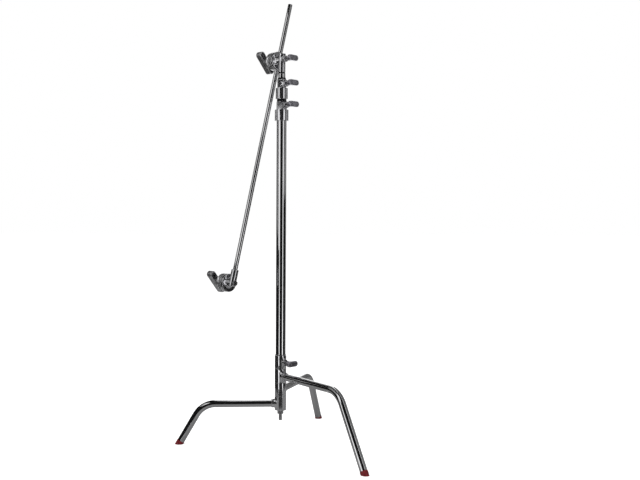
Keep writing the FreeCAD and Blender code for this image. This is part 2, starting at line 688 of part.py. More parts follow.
def handle_bar(boss_reach):
    """The cast bar that the fingers turn, with a shallow panel on each lobe, front and back."""
    hub_start = boss_reach + HANDLE_STANDOFF
    bar_start = hub_start + HANDLE_HUB_LENGTH
    bar_end = bar_start + BAR_THICKNESS
    bar = oval(BAR_LENGTH, BAR_HEIGHT, bar_start, BAR_THICKNESS)
    bar = bar.makeFillet(BAR_ROUND, bar.Edges)
    hub = Part.makeCone(HANDLE_HUB_RADIUS, HANDLE_HUB_RADIUS + HANDLE_HUB_FLARE, HANDLE_HUB_LENGTH + 4,
                        V(hub_start, 0, 0), V(1, 0, 0))
    bar = bar.fuse(hub)
    for face_x in (bar_start, bar_end - BAR_PANEL_DEPTH):
        panel = oval(BAR_LENGTH - 2 * BAR_PANEL_RIM, BAR_HEIGHT - 2 * BAR_PANEL_RIM, face_x, BAR_PANEL_DEPTH)
        bar = bar.cut(panel.cut(along_x(HANDLE_HUB_RADIUS + 0.5, bar_start - 1, bar_end + 1)))
    return bar.cut(along_x(SCREW_RADIUS, hub_start - 1, bar_start))


HANDLE_STATIONS = {
    "base": {"clamped": SPIGOT_RADIUS, "boss_reach": BASE_BOSS_REACH,
             "direction": HANDLE_DIRECTION, "height": BASE_HANDLE_HEIGHT},
    "lower": {"clamped": MIDDLE_TUBE_RADIUS, "boss_reach": LOWER_BOSS_REACH,
              "direction": HANDLE_DIRECTION, "height": LOWER_HANDLE_HEIGHT},
    "upper": {"clamped": INNER_TUBE_RADIUS, "boss_reach": UPPER_BOSS_REACH,
              "direction": HANDLE_DIRECTION, "height": UPPER_HANDLE_HEIGHT},
    "head": {"clamped": STUD_RADIUS, "boss_reach": HEAD_BOSS_REACH,
             "direction": HEAD_HANDLE_DIRECTION, "height": HEAD_HEIGHT + HEAD_HANDLE_RISE},
}


def handle_pieces(station):
    size = HANDLE_STATIONS[station]
    place = turned(size["direction"], size["height"])
    return {
        station + "_lock_pad": placed(pad(size["clamped"]), place),
        station + "_lock_screw": placed(screw(size["clamped"], size["boss_reach"]), place),
        station + "_lock_handle": placed(handle_bar(size["boss_reach"]), place),
    }


# ---------------------------------------------------------------- grip heads
# A grip head is drawn with its sleeve along Z and its bolt along +X, both through the origin.

def back_plate():
    """The round plate and the neck that joins it to the sleeve."""
    plate = along_x(DISC_RADIUS, PLATE_BACK, PLATE_FACE)
    plate = rounded(plate, PLATE_ROUND, circle_at_x(PLATE_BACK))
    neck = Part.makeCone(SLEEVE_RADIUS, SLEEVE_RADIUS + PLATE_NECK_FLARE, PLATE_BACK + 1, V(0, 0, 0),
                         V(1, 0, 0))
    return plate.fuse(neck)


def stand_head_body():
    """The head that goes on the stud: a through bore, a locking boss and a tapped hole for the bolt."""
    sleeve = upright(SLEEVE_RADIUS, -SLEEVE_BELOW, SLEEVE_ABOVE)
    lip = Part.makeCone(SLEEVE_RADIUS, SLEEVE_RADIUS + SLEEVE_LIP, SLEEVE_LIP_HEIGHT,
                        V(0, 0, SLEEVE_ABOVE - SLEEVE_LIP_HEIGHT), Z_AXIS)
    body = back_plate().fuse(sleeve).fuse(lip)
    direction = HEAD_HANDLE_DIRECTION - HEAD_DIRECTION
    body = body.fuse(handle_boss(HEAD_BOSS_REACH, direction, HEAD_HANDLE_RISE))
    bore = STUD_RADIUS + RUNNING_GAP
    body = body.cut(upright(bore, -SLEEVE_BELOW - 1, SLEEVE_ABOVE + 1))
    body = body.cut(handle_hole(STUD_RADIUS, direction, HEAD_HANDLE_RISE))
    return body.cut(along_x(HEAD_BOLT_RADIUS + STATIC_GAP, STUD_RADIUS + SLEEVE_FLOOR, PLATE_FACE + 1))


def stand_head_bolt():
    """A threaded rod with no head, screwed into the sleeve."""
    bolt = along_x(HEAD_BOLT_RADIUS, STUD_RADIUS + SLEEVE_FLOOR + FACE_GAP, HEAD_BOLT_TIP)
    return bolt.makeChamfer(1.0, bolt.Edges)


def end_head_body():
    """The head on the arm's lower end: a deep blind sleeve with its bolt across the foot."""
    sleeve = upright(SLEEVE_RADIUS, END_SLEEVE_BOTTOM, END_SLEEVE_TOP)
    sleeve = rounded(sleeve, PLATE_ROUND, any_circle)
    body = back_plate().fuse(sleeve)
    body = body.cut(upright(ARM_RADIUS + STATIC_GAP, END_HEAD_BELOW_ARM - FACE_GAP, END_SLEEVE_TOP + 1))
    body = body.cut(along_x(HEAD_BOLT_RADIUS + STATIC_GAP, -SLEEVE_RADIUS - 1, PLATE_FACE + 1))
    body = body.cut(along_x(HEX_HEAD_SEAT_RADIUS, -SLEEVE_RADIUS - 1, -HEX_HEAD_FACE))
    return body.cut(roll_pin_solid(ROLL_PIN_RADIUS + STATIC_GAP, 2 * SLEEVE_RADIUS + 4))


def end_head_bolt():
    """A hex-headed bolt right through, with its head on the back of the sleeve."""
    shank = along_x(HEAD_BOLT_RADIUS, -HEX_HEAD_FACE - 1, HEAD_BOLT_TIP)
    head = placed(hexagon(HEX_HEAD_ACROSS_FLATS, 0, HEX_HEAD_HEIGHT),
                  FreeCAD.Placement(V(-HEX_HEAD_FACE, 0, 0), FreeCAD.Rotation(V(0, 1, 0), -90)))
    return shank.fuse(head)


def roll_pin_solid(radius, length):
    """The pin across the sleeve that keeps the arm in it, parallel to the plate."""
    return cylinder(radius, V(0, -length / 2, ROLL_PIN_HEIGHT), V(0, 1, 0), length)


def friction_disc():
    disc = along_x(FRICTION_RADIUS, PLATE_FACE, PLATE_FACE + FRICTION_THICKNESS)
    return disc.cut(along_x(HEAD_BOLT_RADIUS + FACE_GAP, PLATE_FACE - 1, INNER_JAW_BACK + 1))


def groove(rod_radius, side):
    """The space that two V grooves leave for a rod along Z, centred between the jaws."""
    depth = rod_radius + GROOVE_FLOOR
    slant = (rod_radius + RUNNING_GAP) * math.sqrt(2)
    narrow = slant - depth
    half_gap = JAW_SPACING / 2
    wide = slant - half_gap + 1
    corners = [(-depth, -narrow), (-half_gap + 1, -wide), (half_gap - 1, -wide), (depth, -narrow),
               (depth, narrow), (half_gap - 1, wide), (-half_gap + 1, wide), (-depth, narrow)]
    points = [V(GRIP_CENTRE + x, side + y, -DISC_RADIUS - 1) for x, y in corners]
    return Part.Face(Part.makePolygon(points + points[:1])).extrude(V(0, 0, 2 * DISC_RADIUS + 2))


def jaw_disc(start, rim_x):
    """One round jaw plate with the edge away from the other plate rounded."""
    disc = along_x(DISC_RADIUS, start, start + JAW_THICKNESS)
    return rounded(disc, JAW_ROUND, circle_at_x(rim_x))


def jaw_cuts():
    """What is cut from both jaws: the bolt hole, the spring pockets and the two grooves."""
    hole = along_x(HEAD_BOLT_RADIUS + FACE_GAP, INNER_JAW_BACK - 1, OUTER_JAW_BACK + 1)
    pocket = along_x(JAW_SPRING_RADIUS + JAW_SPRING_WIRE + JAW_POCKET_GAP, INNER_JAW_FACE - JAW_POCKET_DEPTH,
                     OUTER_JAW_FACE + JAW_POCKET_DEPTH)
    return [hole, pocket, groove(ARM_RADIUS, GRIP_SIDE), groove(SMALL_GROOVE_RADIUS, SMALL_GROOVE_SIDE)]


def inner_jaw():
    return jaw_disc(INNER_JAW_BACK, INNER_JAW_BACK).cut(jaw_cuts())


def outer_jaw():
    """The outer jaw has a low cone on its back, which carries the bearing."""
    rim = OUTER_JAW_FACE + JAW_THICKNESS
    cone = Part.makeCone(DISC_RADIUS - 3, JAW_DOME_RADIUS, JAW_DOME_HEIGHT, V(rim, 0, 0), V(1, 0, 0))
    return jaw_disc(OUTER_JAW_FACE, rim).fuse(cone).cut(jaw_cuts())


def jaw_spring():
    bottom = INNER_JAW_FACE - JAW_POCKET_DEPTH
    top = OUTER_JAW_FACE + JAW_POCKET_DEPTH - FACE_GAP
    spring = coil_spring(JAW_SPRING_RADIUS, JAW_SPRING_WIRE, bottom, top, SPRING_TURNS)
    return placed(spring, FreeCAD.Placement(V(0, 0, 0), FreeCAD.Rotation(V(0, 1, 0), 90)))


def thrust_bearing():
    ring = along_x(BEARING_RADIUS, OUTER_JAW_BACK, BEARING_FACE)
    return ring.cut(along_x(HEAD_BOLT_RADIUS + FACE_GAP, OUTER_JAW_BACK - 1, BEARING_FACE + 1))


def knob_pocket(side):
    """The hollow between the hub and one lobe, open towards the jaws."""
    hub_edge = KNOB_WAIST_RADIUS + 0.5
    lobe_edge = KNOB_BAR_LENGTH / 2 - KNOB_WALL - 2
    width = KNOB_BAR_WIDTH - 2 * KNOB_WALL
    depth = KNOB_BAR_THICKNESS - KNOB_WEB
    pocket = oval(lobe_edge - hub_edge, width, KNOB_BAR_BACK - 1, depth + 1)
    pocket.translate(V(0, side * (hub_edge + lobe_edge) / 2, 0))
    return placed(pocket, turned_about_x(KNOB_BAR_ANGLE))


def knob():
    """The cast wing that tightens a head: a waisted hub and a deep bar, cored from the inside."""
    hub = revolved([(0, KNOB_FOOT), (KNOB_HUB_RADIUS - 1, KNOB_FOOT), (KNOB_HUB_RADIUS, KNOB_FOOT + 1),
                    (KNOB_HUB_RADIUS, KNOB_FOOT + KNOB_HUB_RIM),
                    (KNOB_WAIST_RADIUS, KNOB_FOOT + KNOB_HUB_RIM + KNOB_HUB_TAPER),
                    (KNOB_WAIST_RADIUS, KNOB_BAR_BACK + KNOB_WEB), (0, KNOB_BAR_BACK + KNOB_WEB)])
    hub = placed(hub, FreeCAD.Placement(V(0, 0, 0), FreeCAD.Rotation(V(0, 1, 0), 90)))
    bar = oval(KNOB_BAR_LENGTH, KNOB_BAR_WIDTH, KNOB_BAR_BACK, KNOB_BAR_THICKNESS)
    bar = bar.makeFillet(KNOB_ROUND, bar.Edges)
    bar = placed(bar, turned_about_x(KNOB_BAR_ANGLE)).cut([knob_pocket(side) for side in (-1, 1)])
    body = hub.fuse(bar)
    return body.cut(along_x(HEAD_BOLT_RADIUS + RUNNING_GAP, KNOB_FOOT - 1, HEAD_BOLT_TIP + KNOB_BORE_SPARE))


def head_parts(prefix):
    """What both heads have alike, in the head's own frame: fixed, and turning with the jaws."""
    fixed = {prefix + "_friction_disc": friction_disc()}
    gripping = {
        prefix + "_inner_jaw": inner_jaw(),
        prefix + "_outer_jaw": outer_jaw(),
        prefix + "_jaw_spring": jaw_spring(),
        prefix + "_thrust_bearing": thrust_bearing(),
    }
    return fixed, gripping


def head_place():
    return turned(HEAD_DIRECTION, HEAD_HEIGHT)


def arm_place():
    return head_place().multiply(turned_about_x(ARM_TILT))


def end_head_place():
    height = ARM_ABOVE_HEAD - ARM_LENGTH - END_HEAD_BELOW_ARM
    return arm_place().multiply(FreeCAD.Placement(V(GRIP_CENTRE, GRIP_SIDE, height), FreeCAD.Rotation()))


def grip_arm():
    """A plain steel rod with chamfered ends, a shallow depth ring and a cross hole for its pin."""
    top = ARM_ABOVE_HEAD
    bottom = top - ARM_LENGTH
    rod = upright(ARM_RADIUS, bottom, top)
    rod = rod.makeChamfer(ARM_CHAMFER, [edge for edge in rod.Edges if any_circle(edge)])
    mark = top - ARM_MARK_FROM_END
    rod = rod.cut(pipe(ARM_RADIUS + 1, ARM_RADIUS - ARM_MARK_DEPTH, mark - ARM_MARK_WIDTH, mark))
    pin_hole = roll_pin_solid(ROLL_PIN_RADIUS + STATIC_GAP, 4 * ARM_RADIUS)
    pin_hole.translate(V(0, 0, bottom - END_HEAD_BELOW_ARM))
    rod = rod.cut(pin_hole)
    rod.translate(V(GRIP_CENTRE, GRIP_SIDE, 0))
    return placed(rod, arm_place())


def stand_head_pieces():
    fixed, gripping = head_parts("stand_head")
    fixed["stand_head_body"] = stand_head_body()
    fixed["stand_head_bolt"] = stand_head_bolt()
    pieces = {name: placed(shape, head_place()) for name, shape in fixed.items()}
    pieces.update({name: placed(shape, arm_place()) for name, shape in gripping.items()})
    pieces["stand_head_knob"] = placed(knob(), head_place())
    return pieces


def end_head_pieces():
    fixed, gripping = head_parts("end_head")
    fixed["end_head_body"] = end_head_body()
    fixed["end_head_bolt"] = end_head_bolt()
    fixed["end_head_roll_pin"] = roll_pin_solid(ROLL_PIN_RADIUS, 2 * SLEEVE_RADIUS)
    pieces = {**fixed, **gripping}
    pieces = {name: placed(shape, end_head_place()) for name, shape in pieces.items()}
    level_bar = end_head_place().multiply(turned_about_x(-ARM_TILT))
    pieces["end_head_knob"] = placed(knob(), level_bar)
    return pieces


# ---------------------------------------------------------------- the whole stand

def base_pieces():
    pieces = {
        "base_socket": base_socket(),
        "base_bolt": base_bolt(),
        "base_washer": base_washer(),
        "base_nut": base_nut(),
        "base_spring": base_spring(),
        "middle_leg_pin": collar_pin(),
        "bottom_leg_collar": bottom_collar(),
        "middle_leg_collar": leg_collar("middle"),
        "top_leg_collar": leg_collar("top"),
    }
    for name in LEG_DIRECTIONS:
        pieces[name + "_leg_tube"] = leg_tube(name)
        pieces[name + "_leg_foot"] = foot(name)
    return pieces


def column_pieces():
    return {
        "column_spigot": column_spigot(),
        "outer_tube": pipe(OUTER_TUBE_RADIUS, OUTER_TUBE_RADIUS - TUBE_WALL, OUTER_TUBE_BOTTOM,
                           LOWER_NECK_BOTTOM - TUBE_SEAT_GAP),
        "lower_clamp": lower_clamp(),
        "lower_clamp_screw": clamp_screw(OUTER_TUBE_RADIUS, LOWER_CLAMP_RADIUS, LOWER_CLAMP_BOTTOM),
        "lower_clamp_bush": drilled_bush(MIDDLE_TUBE_RADIUS, LOWER_NECK_TOP, LOWER_RING_HEIGHT,
                                         LOWER_NECK_RADIUS - BUSH_RING_INSET, LOWER_HANDLE_HEIGHT),
        "middle_tube": pipe(MIDDLE_TUBE_RADIUS, MIDDLE_TUBE_RADIUS - TUBE_WALL, MIDDLE_TUBE_BOTTOM,
                            UPPER_NECK_BOTTOM - TUBE_SEAT_GAP),
        "middle_tube_guide": guide_bush(MIDDLE_TUBE_RADIUS, OUTER_TUBE_RADIUS, MIDDLE_TUBE_BOTTOM),
        "upper_clamp": upper_clamp(),
        "upper_clamp_screw": clamp_screw(MIDDLE_TUBE_RADIUS, UPPER_CLAMP_RADIUS, UPPER_CLAMP_BOTTOM),
        "upper_clamp_bush": drilled_bush(INNER_TUBE_RADIUS, UPPER_NECK_TOP, UPPER_RING_HEIGHT,
                                         UPPER_NECK_RADIUS - BUSH_RING_INSET, UPPER_HANDLE_HEIGHT),
        "inner_tube": pipe(INNER_TUBE_RADIUS, INNER_TUBE_RADIUS - TUBE_WALL, INNER_TUBE_BOTTOM,
                           INNER_TUBE_TOP),
        "inner_tube_guide": guide_bush(INNER_TUBE_RADIUS, MIDDLE_TUBE_RADIUS, INNER_TUBE_BOTTOM),
        "top_stud": top_stud(),
        "stud_ring": stud_ring(),
    }


def all_pieces():
    pieces = {**base_pieces(), **column_pieces()}
    for station in HANDLE_STATIONS:
        pieces.update(handle_pieces(station))
    pieces["grip_arm"] = grip_arm()
    pieces.update(stand_head_pieces())
    pieces.update(end_head_pieces())
    return pieces


def column_offset(pieces):
    """Where the column's axis comes to lie, once the middle of the stand's box is at the origin."""
    box = Part.makeCompound(list(pieces.values())).optimalBoundingBox(False, False)
    return V(-box.Center.x, -box.Center.y, 0)


def main():
    os.makedirs("parts", exist_ok=True)
    pieces = all_pieces()
    offset = column_offset(pieces)
    for name, shape in pieces.items():
        moved = shape.copy()
        moved.translate(offset)
        moved.exportStep("parts/" + name + ".step")
    print(len(pieces), "pieces, column axis at", round(offset.x, 3), round(offset.y, 3))


if __name__ == "__main__":
    main()
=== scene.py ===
import bmesh
import bpy
import json
import math
from mathutils import Matrix, Vector

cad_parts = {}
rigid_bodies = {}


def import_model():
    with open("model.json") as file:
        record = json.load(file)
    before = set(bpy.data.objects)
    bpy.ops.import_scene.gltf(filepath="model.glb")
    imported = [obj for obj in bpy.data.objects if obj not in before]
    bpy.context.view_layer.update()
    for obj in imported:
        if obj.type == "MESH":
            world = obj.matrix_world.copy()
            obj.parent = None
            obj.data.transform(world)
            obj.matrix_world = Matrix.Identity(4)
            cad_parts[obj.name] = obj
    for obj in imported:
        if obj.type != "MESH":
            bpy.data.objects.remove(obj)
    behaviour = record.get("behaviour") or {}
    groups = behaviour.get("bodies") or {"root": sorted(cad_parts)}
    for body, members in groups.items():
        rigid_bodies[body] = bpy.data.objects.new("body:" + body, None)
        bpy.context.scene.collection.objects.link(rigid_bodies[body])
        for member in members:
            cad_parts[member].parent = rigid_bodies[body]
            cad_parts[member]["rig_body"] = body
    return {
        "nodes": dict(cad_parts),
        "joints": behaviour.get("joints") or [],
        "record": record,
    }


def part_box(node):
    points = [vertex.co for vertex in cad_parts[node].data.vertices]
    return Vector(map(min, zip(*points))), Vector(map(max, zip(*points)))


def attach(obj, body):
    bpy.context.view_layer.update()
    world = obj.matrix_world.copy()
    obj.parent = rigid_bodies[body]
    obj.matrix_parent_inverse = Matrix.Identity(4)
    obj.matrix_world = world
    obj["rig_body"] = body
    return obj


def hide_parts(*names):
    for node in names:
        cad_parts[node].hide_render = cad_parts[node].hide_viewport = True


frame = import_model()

bl_info = {
    "name": "C-stand with grip arm",
    "version": (1, 0, 0),
    "blender": (4, 5, 0),
    "location": "View3D > Sidebar > C-stand",
    "description": "Dresses a C-stand: plated tubes and castings, knobs, handles, screws, springs and feet",
    "category": "Object",
}

MM = 0.001
UP = Vector((0, 0, 1))
X_AXIS = 0
Z_AXIS = 2
QUARTER_TURN = math.radians(90)
FULL_TURN = 2 * math.pi
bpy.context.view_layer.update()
JOINTS = {joint["name"]: joint for joint in frame["joints"]}
SLOT_OF = {part["node"]: part["material_slot"] for part in frame["record"]["subparts"]}
STATIONS = ("base", "lower", "upper", "head")
HEADS = ("stand_head", "end_head")
LEGS = ("bottom", "middle", "top")


# ---------------------------------------------------------------- places taken from the frame

SOLE_LEVEL = 0.01 * MM    # what lies lower is part of a foot's sole


def box_middle(node):
    low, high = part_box(node)
    return (low + high) / 2


def column_axis():
    middle = box_middle("outer_tube")
    return Vector((middle.x, middle.y, 0))


def basis(origin, x_axis, z_axis):
    """A frame at origin with these two directions, already at right angles."""
    y_axis = z_axis.cross(x_axis)
    turned = Matrix((x_axis, y_axis, z_axis)).transposed().to_4x4()
    return Matrix.Translation(origin) @ turned


def screw_basis(joint_name):
    """A frame on a hinge's axis, with X along the axis and Z upright."""
    joint = JOINTS[joint_name]
    x_axis = Vector(joint["axis"]).normalized()
    return basis(Vector(joint["pos_m"]), x_axis, UP)


def span(node, place, axis):
    """The lowest and highest place of a node along one axis of a frame."""
    back = place.inverted()
    values = [(back @ vertex.co)[axis] for vertex in frame["nodes"][node].data.vertices]
    return min(values), max(values)


def leg_line(leg):
    """Where the middle of a leg meets the floor, and the direction of its lower run, upwards."""
    foot = frame["nodes"][leg + "_leg_foot"].data
    sole = [vertex.co for vertex in foot.vertices if vertex.co.z < SOLE_LEVEL]
    low = Vector((min(co.x for co in sole), min(co.y for co in sole), 0))
    high = Vector((max(co.x for co in sole), max(co.y for co in sole), 0))
    meeting = (low + high) / 2
    inward = (column_axis() - meeting).normalized()
    slope = bpy.context.scene.stand_parts.leg_slope
    return meeting, inward * math.cos(slope) + UP * math.sin(slope)


# ---------------------------------------------------------------- settings

def length(name, description, default):
    return bpy.props.FloatProperty(name=name, description=description, default=default, min=0.0,
                                   subtype="DISTANCE", unit="LENGTH", precision=5)


def colour(name, description, default):
    return bpy.props.FloatVectorProperty(name=name, description=description, default=default, size=3,
                                         min=0.0, max=1.0, subtype="COLOR")


def share(name, description, default):
    return bpy.props.FloatProperty(name=name, description=description, default=default, min=0.0, max=1.0,
                                   subtype="FACTOR")


class FinishSettings(bpy.types.PropertyGroup):
    chrome: colour("Tube chrome", "Colour of the polished plate on the tubes", (0.78, 0.78, 0.79))
    chrome_roughness: share("Tube roughness", "How blurred the reflections in the tubes are", 0.055)
    casting: colour("Casting plate", "Colour of the plated castings and the bodies of the grip heads",
                    (0.80, 0.80, 0.82))
    head: colour("Head plate", "Colour of the satin plate on the jaws and knobs", (0.50, 0.50, 0.51))
    enamel: colour("Handle enamel", "Colour of the T handles", (0.38, 0.372, 0.41))
    steel: colour("Hardware", "Colour of screws, bolts and springs", (0.56, 0.56, 0.57))
    nylon: colour("Nylon", "Colour of the bushes, guides and discs", (0.006, 0.006, 0.007))
    rubber: colour("Foot rubber", "Colour of the feet", (0.15, 0.004, 0.008))
    brass: colour("Brass", "Colour of the clamping pads", (0.60, 0.42, 0.18))


class PartSettings(bpy.types.PropertyGroup):
    casting_voxel: length("Casting detail", "Size of the grid that softens the castings", 0.7 * MM)
    foot_radius: length("Foot radius", "Outer radius of a rubber foot", 13.3 * MM)
    foot_height: length("Foot height", "Height of a rubber foot along its leg", 13.6 * MM)
    tube_wall: length("Tube wall", "Wall of the column's tubes", 1.5 * MM)
    leg_radius: length("Leg radius", "Outer radius of a leg's tube", 12.7 * MM)
    leg_wall: length("Leg wall", "Wall of a leg's tube", 2.0 * MM)
    leg_bend: length("Leg bend", "Radius of a leg's bend, at the middle of its tube", 78.0 * MM)
    leg_slope: bpy.props.FloatProperty(name="Leg slope", description="How steeply a leg goes down",
                                       default=math.radians(59.7), subtype="ANGLE", unit="ROTATION")
    arm_mark: length("Arm mark", "From the arm's free end to its marking ring", 77.0 * MM)
    thread_depth: length("Thread depth", "Depth of the screw threads", 0.55 * MM)
    thread_pitch: length("Thread pitch", "Distance between the turns of a thread", 1.5 * MM)
    spring_wire: length("Spring wire", "Radius of the spring wire", 0.95 * MM)


class StageSettings(bpy.types.PropertyGroup):
    camera_distance: length("Camera distance", "From the column to the camera", 3.2265)
    camera_height: length("Camera height", "Height of the camera", 0.8174)
    camera_side: length("Camera side step", "How far the camera stands to the right of the column", 0.0136)
    lens: bpy.props.FloatProperty(name="Lens", description="Focal length", default=51.09, unit="CAMERA")
    shift_x: bpy.props.FloatProperty(name="Shift X", description="Sideways shift of the lens",
                                     default=0.0546)
    shift_y: bpy.props.FloatProperty(name="Shift Y", description="Upward shift of the lens",
                                     default=-0.0429)
    camera_roll: bpy.props.FloatProperty(name="Camera roll", description="How far the camera leans over",
                                         default=math.radians(0.245), subtype="ANGLE", unit="ROTATION")
    paper: colour("Paper", "Colour of the floor", (0.86, 0.86, 0.86))
    paper_glow: share("Paper glow", "How far the floor is lifted to white where it is seen", 0.50)
    sky_light: share("Sky light", "Strength of the light from all round", 0.62)


# ---------------------------------------------------------------- materials

NOISE_RANGE = (0.3, 0.7)          # most of a noise value lies between these
TINT_RANGE = (0.35, 0.65)         # a narrower range, which gives the clouding clearer edges
POINTINESS_RANGE = (0.46, 0.54)   # from a hollow to an edge, with 0.5 on a flat face


def new_material(name):
    material = bpy.data.materials.new(name)
    material.use_nodes = True
    tree = material.node_tree
    return material, tree, tree.nodes["Principled BSDF"]


def object_noise(tree, scale, detail):
    """Noise on the object's own coordinates."""
    coordinates = tree.nodes.new("ShaderNodeTexCoord")
    noise = tree.nodes.new("ShaderNodeTexNoise")
    noise.inputs["Scale"].default_value = scale
    noise.inputs["Detail"].default_value = detail
    tree.links.new(coordinates.outputs["Object"], noise.inputs["Vector"])
    return noise.outputs["Fac"]


def remap(tree, value, low, high, given=NOISE_RANGE):
    """Carries a value over from its own range to low and high."""
    node = tree.nodes.new("ShaderNodeMapRange")
    node.inputs["From Min"].default_value = given[0]
    node.inputs["From Max"].default_value = given[1]
    node.inputs["To Min"].default_value = low
    node.inputs["To Max"].default_value = high
    tree.links.new(value, node.inputs["Value"])
    return node.outputs["Result"]


def tinted(tree, value, dark, light):
    """A colour that goes from dark to light with a noise value."""
    ramp = tree.nodes.new("ShaderNodeValToRGB")
    for stop, position, tint in zip(ramp.color_ramp.elements, TINT_RANGE, (dark, light)):
        stop.position = position
        stop.color = (*tint, 1)
    tree.links.new(value, ramp.inputs["Fac"])
    return ramp.outputs["Color"]


def bumped(tree, shader, value, strength, distance):
    bump = tree.nodes.new("ShaderNodeBump")
    bump.inputs["Strength"].default_value = strength
    bump.inputs["Distance"].default_value = distance
    tree.links.new(value, bump.inputs["Height"])
    tree.links.new(bump.outputs["Normal"], shader.inputs["Normal"])


def painted_hollow_shade_rim_highlight(tree, colours, hollow, rim):
    """Darkens a colour in the hollows of a shape as painted shade and brightens it along its edges as a
    painted highlight.
    """
    geometry = tree.nodes.new("ShaderNodeNewGeometry")
    factor = remap(tree, geometry.outputs["Pointiness"], hollow, rim, POINTINESS_RANGE)
    scale = tree.nodes.new("ShaderNodeVectorMath")
    scale.operation = "SCALE"
    tree.links.new(colours, scale.inputs[0])
    tree.links.new(factor, scale.inputs["Scale"])
    return scale.outputs["Vector"]


def shade(base, factor):
    return tuple(min(1.0, channel * factor) for channel in base)


def tube_chrome(finish):
    """Polished plate over drawn tube: faint clouding, wiped smears and a very slight ripple."""
    clean = finish.chrome_roughness
    smeared = 2.2 * clean
    material, tree, shader = new_material("tube_chrome")
    shader.inputs["Metallic"].default_value = 1.0
    clouds = object_noise(tree, 9.0, 4.0)
    colours = tinted(tree, clouds, shade(finish.chrome, 0.93), shade(finish.chrome, 1.05))
    tree.links.new(colours, shader.inputs["Base Color"])
    smears = object_noise(tree, 60.0, 5.0)
    tree.links.new(remap(tree, smears, clean, smeared), shader.inputs["Roughness"])
    ripple = object_noise(tree, 45.0, 2.0)
    bumped(tree, shader, ripple, 0.05, 0.0003)
    return material


def casting_chrome(finish):
    """Bright plate over a polished casting: softer than the tubes, with a slight ripple."""
    material, tree, shader = new_material("casting_chrome")
    shader.inputs["Metallic"].default_value = 0.98
    clouds = object_noise(tree, 40.0, 4.0)
    colours = tinted(tree, clouds, shade(finish.casting, 0.88), shade(finish.casting, 1.06))
    tree.links.new(colours, shader.inputs["Base Color"])
    smears = object_noise(tree, 70.0, 4.0)
    tree.links.new(remap(tree, smears, 0.05, 0.11), shader.inputs["Roughness"])
    ripple = object_noise(tree, 120.0, 3.0)
    bumped(tree, shader, ripple, 0.05, 0.0003)
    return material


def head_plate(finish):
    """Satin plate on jaws and knobs, with the grain of the casting, painted shade in the hollows and
    painted highlights on the rims.
    """
    material, tree, shader = new_material("head_plate")
    shader.inputs["Metallic"].default_value = 0.88
    patches = object_noise(tree, 55.0, 6.0)
    colours = tinted(tree, patches, shade(finish.head, 0.80), shade(finish.head, 1.12))
    # painted shade in the hollows and a painted highlight on the rims
    tree.links.new(painted_hollow_shade_rim_highlight(tree, colours, 0.35, 1.65), shader.inputs["Base Color"])
    smears = object_noise(tree, 120.0, 4.0)
    tree.links.new(remap(tree, smears, 0.14, 0.26), shader.inputs["Roughness"])
    grain = object_noise(tree, 380.0, 4.0)
    bumped(tree, shader, grain, 0.08, 0.0002)
    return material


def handle_enamel(finish):
    """Metallic enamel with an orange-peel surface, with painted shade in its recesses and painted
    highlights on its rims.
    """
    material, tree, shader = new_material("handle_enamel")
    patches = object_noise(tree, 90.0, 5.0)
    colours = tinted(tree, patches, shade(finish.enamel, 0.82), shade(finish.enamel, 1.2))
    # painted shade in the recesses and a painted highlight on the rims
    tree.links.new(painted_hollow_shade_rim_highlight(tree, colours, 0.45, 1.55), shader.inputs["Base Color"])
    smears = object_noise(tree, 150.0, 3.0)
    tree.links.new(remap(tree, smears, 0.13, 0.24), shader.inputs["Roughness"])
    shader.inputs["Metallic"].default_value = 0.88
    peel = object_noise(tree, 1100.0, 2.0)
    bumped(tree, shader, peel, 0.25, 0.00015)
    return material


def hardware_steel(finish):
    """Zinc plated steel: clouded, with a fine bumped grain."""
    material, tree, shader = new_material("hardware_steel")
    shader.inputs["Metallic"].default_value = 1.0
    clouds = object_noise(tree, 130.0, 5.0)
    colours = tinted(tree, clouds, shade(finish.steel, 0.78), shade(finish.steel, 1.1))
    tree.links.new(colours, shader.inputs["Base Color"])
    smears = object_noise(tree, 240.0, 4.0)
    tree.links.new(remap(tree, smears, 0.18, 0.34), shader.inputs["Roughness"])
    bumped(tree, shader, smears, 0.10, 0.0001)
    return material


def bush_nylon(finish):
    """Black nylon with a faint moulded grain."""
    material, tree, shader = new_material("bush_nylon")
    clouds = object_noise(tree, 80.0, 4.0)
    colours = tinted(tree, clouds, shade(finish.nylon, 0.8), shade(finish.nylon, 1.5))
    tree.links.new(colours, shader.inputs["Base Color"])
    tree.links.new(remap(tree, clouds, 0.38, 0.52), shader.inputs["Roughness"])
    shader.inputs["Specular IOR Level"].default_value = 0.15
    grain = object_noise(tree, 1500.0, 3.0)
    bumped(tree, shader, grain, 0.2, 0.0001)
    return material


def foot_rubber(finish):
    """Dark red moulded rubber, scuffed paler and matt."""
    material, tree, shader = new_material("foot_rubber")
    scuffs = object_noise(tree, 120.0, 6.0)
    colours = tinted(tree, scuffs, shade(finish.rubber, 0.72), shade(finish.rubber, 1.2))
    tree.links.new(colours, shader.inputs["Base Color"])
    tree.links.new(remap(tree, scuffs, 0.48, 0.68), shader.inputs["Roughness"])
    grain = object_noise(tree, 900.0, 4.0)
    bumped(tree, shader, grain, 0.3, 0.0002)
    return material


def pad_brass(finish):
    """Turned brass, slightly tarnished."""
    material, tree, shader = new_material("pad_brass")
    shader.inputs["Metallic"].default_value = 1.0
    clouds = object_noise(tree, 200.0, 4.0)
    colours = tinted(tree, clouds, shade(finish.brass, 0.7), shade(finish.brass, 1.1))
    tree.links.new(colours, shader.inputs["Base Color"])
    tree.links.new(remap(tree, clouds, 0.25, 0.4), shader.inputs["Roughness"])
    return material


